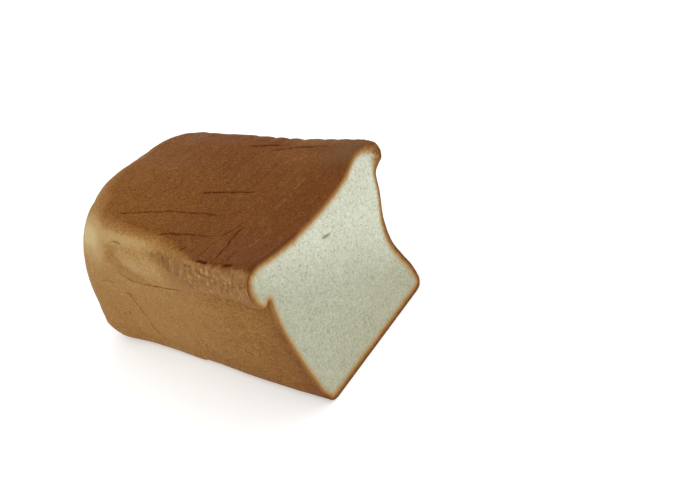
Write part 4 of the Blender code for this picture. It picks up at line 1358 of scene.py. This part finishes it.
# Noises of the materials, as (wavelength in millimetres, detail, roughness).
PATCH_NOISE = (7.0, 3.0, 0.6)
GRAIN_NOISE = (1.3, 3.0, 0.65)
SPECK_NOISE = (0.7, 2.0, 0.6)
ACROSS_NOISE = (1.7, 3.0, 0.6)
GRIT_NOISE = (1.2, 4.0, 0.7)
RIB_NOISE = (1.0, 2.0, 0.5)
SCUFF_NOISE = (2.6, 3.0, 0.6)
FLECK_NOISE = (1.3, 1.0)
FLECK_GROUP_NOISE = (16.0,)
RIM_GRIT_NOISE = (1.3, 4.0, 0.7)
RIM_DRIFT_NOISE = (5.0,)
RIM_SPECK_NOISE = (1.5, 3.0, 0.65)
SOFT_NOISE = (16.0, 3.0, 0.55)
MOTTLE_NOISE = (1.4, 4.0, 0.65)
FINE_NOISE = (0.8, 3.0, 0.6)
TABLE_NOISE = (160.0, 2.0)
# How the noises are stretched, and how the ribs of the torn skin are turned.
ACROSS_STRETCH = (1.0, 0.10, 1.0)
RIB_STRETCH = (1.0, 0.2, 0.2)
RIB_TURN = (0.0, math.radians(18.0), 0.0)
MOTTLE_STRETCH = (1.0, 1.0, 0.7)
CRUST_CELL, CRUMB_CELL = 0.9, 1.0
# Where each of a row of colours shows whole.
BAKE_STOPS = (-0.02, 0.16, 0.42, 0.64, 0.82, 1.05, 1.35)
AMBER_STOPS = (0.34, 0.66)
GRIT_STOPS = (0.34, 0.5, 0.66)
STRAND_STOPS = (0.0, 0.55, 1.0)
CRUMB_STOPS = (0.2, 0.5, 1.0)
RIM_STOPS = (0.0, 0.21, 0.44, 0.70, 1.02)
# How much of a colour is laid over the crust and the crumb.
AMBER_COVER, GRIT_COVER, TORN_COVER = 0.38, 0.8, 0.80
SCUFF_COVER, FLECK_COVER, CREASE_SHADE_COVER = 0.38, 0.30, 0.85
LOW_SHADE_COVER, CELL_SHADE_COVER, PORE_SHADE_COVER = 0.25, 0.66, 0.75
RIM_LINE_COVER, RIM_SPECK_COVER = 0.8, 0.7


def rim_colour(recipe, depth, skin, inside):
    """From the colour of the skin inwards: a dark line, baked brown, tan, cream, then the colour inside."""
    look = bpy.context.scene.loaf_crust
    place = recipe.place()
    edge = recipe.field("edge")
    tip = recipe.field("tip")
    grit = recipe.noise(place, *RIM_GRIT_NOISE) - 0.5
    ragged = depth + grit * (tip * 0.9 + 0.45) + (recipe.noise(place, *RIM_DRIFT_NOISE) - 0.5) * 0.22
    ragged = ragged - edge * 0.12 - tip * 0.20
    cream = recipe.blend(0.6, look.rim_tan, inside)
    outer = recipe.blend(edge.clamped(), look.rim_brown, look.rim_dark)
    outer = recipe.blend(tip * GRIT_COVER, outer, look.rim_brown)
    inner = recipe.bands(ragged, RIM_STOPS, (outer, look.rim_brown, look.rim_tan, cream, inside))
    line = (depth.span(0.16, 0.02) * edge * (1.0 - tip * 0.6)).clamped()
    inner = recipe.blend(line * RIM_LINE_COVER, inner, look.rim_dark)
    specks = recipe.noise(place, *RIM_SPECK_NOISE).span(0.50, 0.60) * tip * depth.span(1.0, 0.3)
    inner = recipe.blend(specks * RIM_SPECK_COVER, inner, look.rim_dark)
    return recipe.blend(depth.span(0.0, 0.03), skin, inner)


def crust_material():
    """Baked crust: dark and finely grained on top, golden at the far shoulder, mid brown on the sides."""
    look = bpy.context.scene.loaf_crust
    recipe = Recipe("baked_crust")
    place = recipe.place()
    names = ("bake_and_shading", "amber", "torn", "fibre", "crease", "scuff", "depth")
    bake_and_shading, amber, torn, fibre, crease, scuff, depth = (recipe.field(name) for name in names)

    patch = recipe.noise(place, *PATCH_NOISE)
    grain = recipe.noise(place, *GRAIN_NOISE)
    speck = recipe.noise(place, *SPECK_NOISE)
    across = recipe.noise(recipe.place(ACROSS_STRETCH), *ACROSS_NOISE)

    # The baked colour, more broken up where it is dark or amber, and streaked across the crown.
    top = bake_and_shading.span(0.62, 0.85)
    calm = bake_and_shading.span(0.05, 0.60) * 0.62 + 0.38
    darker = bake_and_shading + (patch - 0.5) * 0.20 + ((grain - 0.5) * 0.75 + (speck - 0.5) * 0.55) \
        * (calm + amber * 0.9 + top * 0.25)
    darker = darker + (across - 0.5) * 0.32 * top
    baked = (look.pale, look.gold, look.tan, look.brown, look.deep, look.dark, shade(look.dark, 0.6))
    colour = recipe.bands(darker, BAKE_STOPS, baked)
    warm = recipe.bands(grain, AMBER_STOPS, (shade(look.amber, 0.72), shade(look.amber, 1.25)))
    colour = recipe.blend(amber * AMBER_COVER, colour, warm)
    grit = recipe.noise(place, *GRIT_NOISE)
    crumbs = recipe.bands(grit, GRIT_STOPS, (look.rim_dark, look.rim_brown, look.rim_tan))
    colour = recipe.blend(recipe.field("tip") * GRIT_COVER, colour, crumbs)
    # Painted shade, dull and greyish, by the rear lip's tip.
    rear_lip_shade_amount = recipe.field("rear_lip_shade") * (0.62 + (grain - 0.5) * 2.4 + (patch - 0.5) * 2.8)
    colour = recipe.blend(rear_lip_shade_amount.clamped(), colour, look.rear_lip_shade)

    # Fibres of torn skin: light strands, brown gaps.
    ribs = recipe.noise(recipe.place(RIB_STRETCH, RIB_TURN), *RIB_NOISE)
    strand = ((fibre - 0.35) * 1.4 + (grain - 0.5) * 0.7 + (ribs - 0.5) * 1.3).clamped()
    strands = recipe.bands(strand, STRAND_STOPS, (look.torn_gap, look.torn_middle, look.torn_strand))
    colour = recipe.blend(torn * TORN_COVER, colour, strands)

    # Pale scuffs, broken up, and a few pale flecks.
    broken = recipe.noise(place, *SCUFF_NOISE).span(0.42, 0.62)
    colour = recipe.blend(scuff * broken * SCUFF_COVER, colour, look.gold)
    fleck = recipe.noise(place, *FLECK_NOISE).span(0.70, 0.80)
    fleck = fleck * recipe.noise(place, *FLECK_GROUP_NOISE).span(0.45, 0.65)
    colour = recipe.blend(fleck * FLECK_COVER, colour, look.gold)
    # Painted shade in the creases, pits and slits.
    colour = recipe.blend(crease.span(0.08, 0.9) * CREASE_SHADE_COVER, colour, look.crease, "MULTIPLY")
    colour = rim_colour(recipe, depth, colour, look.rim_tan)

    rough = 0.60 + (grain - 0.5) * 0.3 + torn * 0.1 + crease * 0.2 - top * 0.06
    rough = rough.clamped()
    coarse = recipe.bump(patch * 0.5 + grain * 0.5, 0.6 * MM, 0.4)
    fine = recipe.bump(speck + recipe.cells(place, CRUST_CELL) * 0.4, 0.3 * MM, 0.5, below=coarse)
    return recipe.surface({
        "Base Color": colour,
        "Roughness": rough,
        "Specular IOR Level": 0.06,
        "Normal": fine,
    })


def crumb_material():
    """White crumb with fine cells, tanned towards the crust, with painted light above and painted shade low
    down, in its cells and in its pores.
    """
    look = bpy.context.scene.loaf_crumb
    recipe = Recipe("white_crumb")
    place = recipe.place()
    depth, cell, pore = (recipe.field(name) for name in ("depth", "cell", "pore"))

    soft = recipe.noise(place, *SOFT_NOISE)
    painted_light = recipe.field("painted_light")
    mottle = recipe.noise(recipe.place(MOTTLE_STRETCH), *MOTTLE_NOISE)
    fine = recipe.noise(place, *FINE_NOISE)
    tone = (mottle - 0.5) * 0.9 + (fine - 0.5) * 1.35 + (soft - 0.5) * 0.25 + 0.55
    # A lit copy of the crumb's colours, blended in by painted light, with painted shade laid over the low part.
    lower = recipe.bands(tone, CRUMB_STOPS, (look.shade, look.body, look.light))
    lit_copy = recipe.bands(tone, CRUMB_STOPS, (look.body, look.light, look.white))
    colour = recipe.blend(recipe.field("low") * LOW_SHADE_COVER, recipe.blend(painted_light, lower, lit_copy), look.shade)
    # Painted shade in the cells and in the larger pores.
    colour = recipe.blend(cell.span(0.10, 0.8) * CELL_SHADE_COVER, colour, shade(look.shade, 0.85))
    colour = recipe.blend(pore.span(0.05, 0.8) * PORE_SHADE_COVER, colour, look.pore)
    colour = rim_colour(recipe, depth, bpy.context.scene.loaf_crust.rim_dark, colour)
    holes = recipe.cells(place, CRUMB_CELL)
    return recipe.surface({
        "Base Color": colour,
        "Roughness": 0.92,
        "Specular IOR Level": 0.15,
        "Subsurface Weight": 0.10,
        "Subsurface Radius": (1.0, 0.9, 0.7),
        "Subsurface Scale": 1.0 * MM,
        "Normal": recipe.bump(holes.least(0.6) + fine * 0.5, 0.5 * MM, 0.55),
    })


WHITE = (1.0, 1.0, 1.0, 1.0)
# The table's half width in metres, how wide the soft light is and where it comes from, and the camera's
# picture width in millimetres.
TABLE_HALF = 6
LIGHT_SPREAD = math.radians(90.0)
LIGHT_FROM = (0.25, 0.1, 1.0)
PICTURE_WIDTH = 36.0


def floor_material():
    """A matt, nearly white table."""
    recipe = Recipe("white_table")
    look = bpy.context.scene.loaf_stage
    tone = recipe.noise(recipe.place(), *TABLE_NOISE)
    return recipe.surface({
        "Base Color": recipe.blend(tone, look.floor, shade(look.floor, 0.995)),
        "Roughness": 0.9,
        "Specular IOR Level": 0.1,
        "Emission Color": WHITE,
        "Emission Strength": look.floor_glow,
    })


def number(name, description, default, limits=None, **unit):
    """A number that a user may change, between its limits where it has any."""
    if limits:
        unit["min"], unit["max"] = limits
    return FloatProperty(name=name, description=description, default=default, **unit)


def tint(name, description, default):
    """A colour that a user may change."""
    return FloatVectorProperty(name=name, description=description, default=default + (1.0,), size=4,
                               min=0.0, max=1.0, subtype="COLOR")


LENGTH = {"subtype": "DISTANCE", "unit": "LENGTH"}
ANGLE = {"subtype": "ANGLE", "unit": "ROTATION"}


class CrustLook(bpy.types.PropertyGroup):
    pale: tint("Pale gold", "Crust where it baked least, at the far shoulder", (0.575, 0.435, 0.215))
    gold: tint("Gold", "Crust round the far shoulder", (0.465, 0.300, 0.122))
    tan: tint("Tan", "Lighter crust of the sides", (0.335, 0.170, 0.047))
    brown: tint("Brown", "Darker crust of the sides", (0.228, 0.092, 0.017))
    deep: tint("Deep brown", "Most of the crown", (0.170, 0.054, 0.0085))
    dark: tint("Dark brown", "Darkest crust of the crown", (0.122, 0.032, 0.0035))
    # Painted shade: the dull greyish brown by the rear lip's tip.
    rear_lip_shade: tint("Ash brown", "Dull crust of the crown beside the rear lip's tip", (0.160, 0.080, 0.031))
    amber: tint("Amber", "Where the crown gives way to the pale shoulder", (0.330, 0.142, 0.040))
    # Painted shade: what the creases, pits and slits leave of the crust's colour.
    crease: tint("Creases", "What the creases leave of the crust's colour", (0.38, 0.27, 0.20))
    torn_gap: tint("Torn gaps", "Between the fibres of the torn lip", (0.228, 0.098, 0.030))
    torn_middle: tint("Torn skin", "Most of the torn lip", (0.308, 0.156, 0.056))
    torn_strand: tint("Torn fibres", "Fibres of the torn lip", (0.475, 0.322, 0.148))
    rim_dark: tint("Rim, outside", "Outer line of the rim round the slice", (0.150, 0.056, 0.012))
    rim_brown: tint("Rim, brown", "Baked brown of the rim", (0.292, 0.130, 0.037))
    rim_tan: tint("Rim, tan", "Middle of the rim", (0.415, 0.250, 0.096))
    fibre_height: number("Fibre height", "Height of the fibres on the torn lip", 0.35 * MM, (0.0, 2.0 * MM),
                         **LENGTH)
    crease_depth: number("Crease depth", "How deep the creases are against their own depth", 1.0, (0.0, 2.0),
                         subtype="FACTOR")


class CrumbLook(bpy.types.PropertyGroup):
    # The lit copy's lightest colour: painted light on the crumb near the crown.
    white: tint("White crumb", "Lightest crumb near the crown", (0.805, 0.838, 0.722))
    light: tint("Light crumb", "Lightest crumb of the lower part", (0.620, 0.628, 0.495))
    body: tint("Crumb", "Most of the crumb", (0.445, 0.448, 0.332))
    shade: tint("Crumb shade", "Crumb inside its cells", (0.350, 0.330, 0.205))
    # Painted shade inside the larger pores.
    pore: tint("Pores", "Inside the larger pores", (0.380, 0.330, 0.170))
    cell_depth: number("Cell depth", "Depth of the crumb's cells against their radius", 0.6, (0.0, 2.0),
                       subtype="FACTOR")
    cell_density: number("Cells per square metre", "How close the cells are", 900000.0, (0.0, 2000000.0))


class StageLook(bpy.types.PropertyGroup):
    azimuth: number("Azimuth", "Turn of the camera round the loaf", math.radians(47.3), **ANGLE)
    elevation: number("Elevation", "Height of the camera over the horizon", math.radians(35.1), **ANGLE)
    roll: number("Roll", "Turn of the camera about its own line of sight", math.radians(-20.0), **ANGLE)
    distance: number("Distance", "From the camera to the point it looks at", 0.664, (0.1, 5.0), **LENGTH)
    target: FloatVectorProperty(name="Target", description="The point that the camera looks at", size=3,
                                default=(0.06744, 0.02502, 0.045), subtype="TRANSLATION", unit="LENGTH")
    lens: number("Focal length", "Focal length on a 36 mm wide picture", 57.3, (10.0, 300.0))
    floor: tint("Table", "Colour of the table", (0.81, 0.83, 0.82))
    floor_glow: number("Table glow", "Light that comes from the table itself", 0.345, (0.0, 2.0))
    sky_strength: number("Sky", "Strength of the light from all round", 0.80, (0.0, 5.0))
    sun_strength: number("Soft light", "Strength of the wide soft light from above", 0.9, (0.0, 20.0))


class LOAF_OT_crust(bpy.types.Operator):
    """Makes the loaf's crust: its outside, its base and the rim round the slice"""
    bl_idname = "loaf.crust"
    bl_label = "Crust"

    def execute(self, context):
        crust = mesh_object("crust", *crust_body())
        crust.data.materials.append(crust_material())
        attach(crust, "root")
        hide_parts("loaf")
        return {"FINISHED"}


class LOAF_OT_crumb(bpy.types.Operator):
    """Makes the sliced face of crumb inside the crust's rim"""
    bl_idname = "loaf.crumb"
    bl_label = "Crumb"

    def execute(self, context):
        crumb = mesh_object("crumb", *crumb_body())
        crumb.data.materials.append(crumb_material())
        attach(crumb, "root")
        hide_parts("loaf")
        return {"FINISHED"}


class LOAF_OT_stage(bpy.types.Operator):
    """Sets the table, the soft lights and the camera"""
    bl_idname = "loaf.stage"
    bl_label = "Stage"

    def execute(self, context):
        scene = context.scene
        look = scene.loaf_stage
        scene.view_settings.view_transform = "Standard"

        table = bpy.data.meshes.new("table")
        corners = [(u * TABLE_HALF, v * TABLE_HALF, 0) for u, v in ((-1, -1), (1, -1), (1, 1), (-1, 1))]
        table.from_pydata(corners, [], [(0, 1, 2, 3)])
        floor = bpy.data.objects.new("table", table)
        scene.collection.objects.link(floor)
        table.materials.append(floor_material())

        world = bpy.data.worlds.new("soft_room")
        scene.world = world
        world.use_nodes = True
        sky = world.node_tree.nodes["Background"]
        sky.inputs["Color"].default_value = WHITE
        sky.inputs["Strength"].default_value = look.sky_strength

        sun = bpy.data.lights.new("soft_light", "SUN")
        sun.energy = look.sun_strength
        sun.angle = LIGHT_SPREAD
        lamp = bpy.data.objects.new("soft_light", sun)
        lamp.rotation_euler = Vector(LIGHT_FROM).to_track_quat("Z", "Y").to_euler()
        scene.collection.objects.link(lamp)

        back = Vector((math.sin(look.azimuth) * math.cos(look.elevation),
                       -math.cos(look.azimuth) * math.cos(look.elevation), math.sin(look.elevation)))
        right = Vector((math.cos(look.azimuth), math.sin(look.azimuth), 0.0))
        level = Matrix((right, back.cross(right), back)).transposed()
        turned = level @ Matrix.Rotation(look.roll, 3, "Z")
        lens = bpy.data.cameras.new("camera")
        lens.sensor_width = PICTURE_WIDTH
        lens.lens = look.lens
        camera = bpy.data.objects.new("camera", lens)
        camera.matrix_world = Matrix.Translation(Vector(look.target) + back * look.distance) @ turned.to_4x4()
        scene.collection.objects.link(camera)
        scene.camera = camera
        return {"FINISHED"}


class LOAF_PT_panel(bpy.types.Panel):
    """The loaf's pieces and their colours"""
    bl_idname = "LOAF_PT_panel"
    bl_label = "Sliced pan loaf"
    bl_space_type = "VIEW_3D"
    bl_region_type = "UI"
    bl_category = "Loaf"

    def draw(self, context):
        for piece in ("crust", "crumb", "stage"):
            self.layout.operator("loaf." + piece)
            box = self.layout.box()
            group = getattr(context.scene, "loaf_" + piece)
            for name in group.__annotations__:
                box.prop(group, name)


CLASSES = (CrustLook, CrumbLook, StageLook, LOAF_OT_crust, LOAF_OT_crumb, LOAF_OT_stage, LOAF_PT_panel)


def register():
    for made in CLASSES:
        bpy.utils.register_class(made)
    bpy.types.Scene.loaf_crust = PointerProperty(type=CrustLook)
    bpy.types.Scene.loaf_crumb = PointerProperty(type=CrumbLook)
    bpy.types.Scene.loaf_stage = PointerProperty(type=StageLook)


def unregister():
    del bpy.types.Scene.loaf_stage
    del bpy.types.Scene.loaf_crumb
    del bpy.types.Scene.loaf_crust
    for made in reversed(CLASSES):
        bpy.utils.unregister_class(made)


def main():
    register()
    bpy.ops.loaf.crust()
    bpy.ops.loaf.crumb()
    bpy.ops.loaf.stage()


if __name__ == "__main__":
    main()
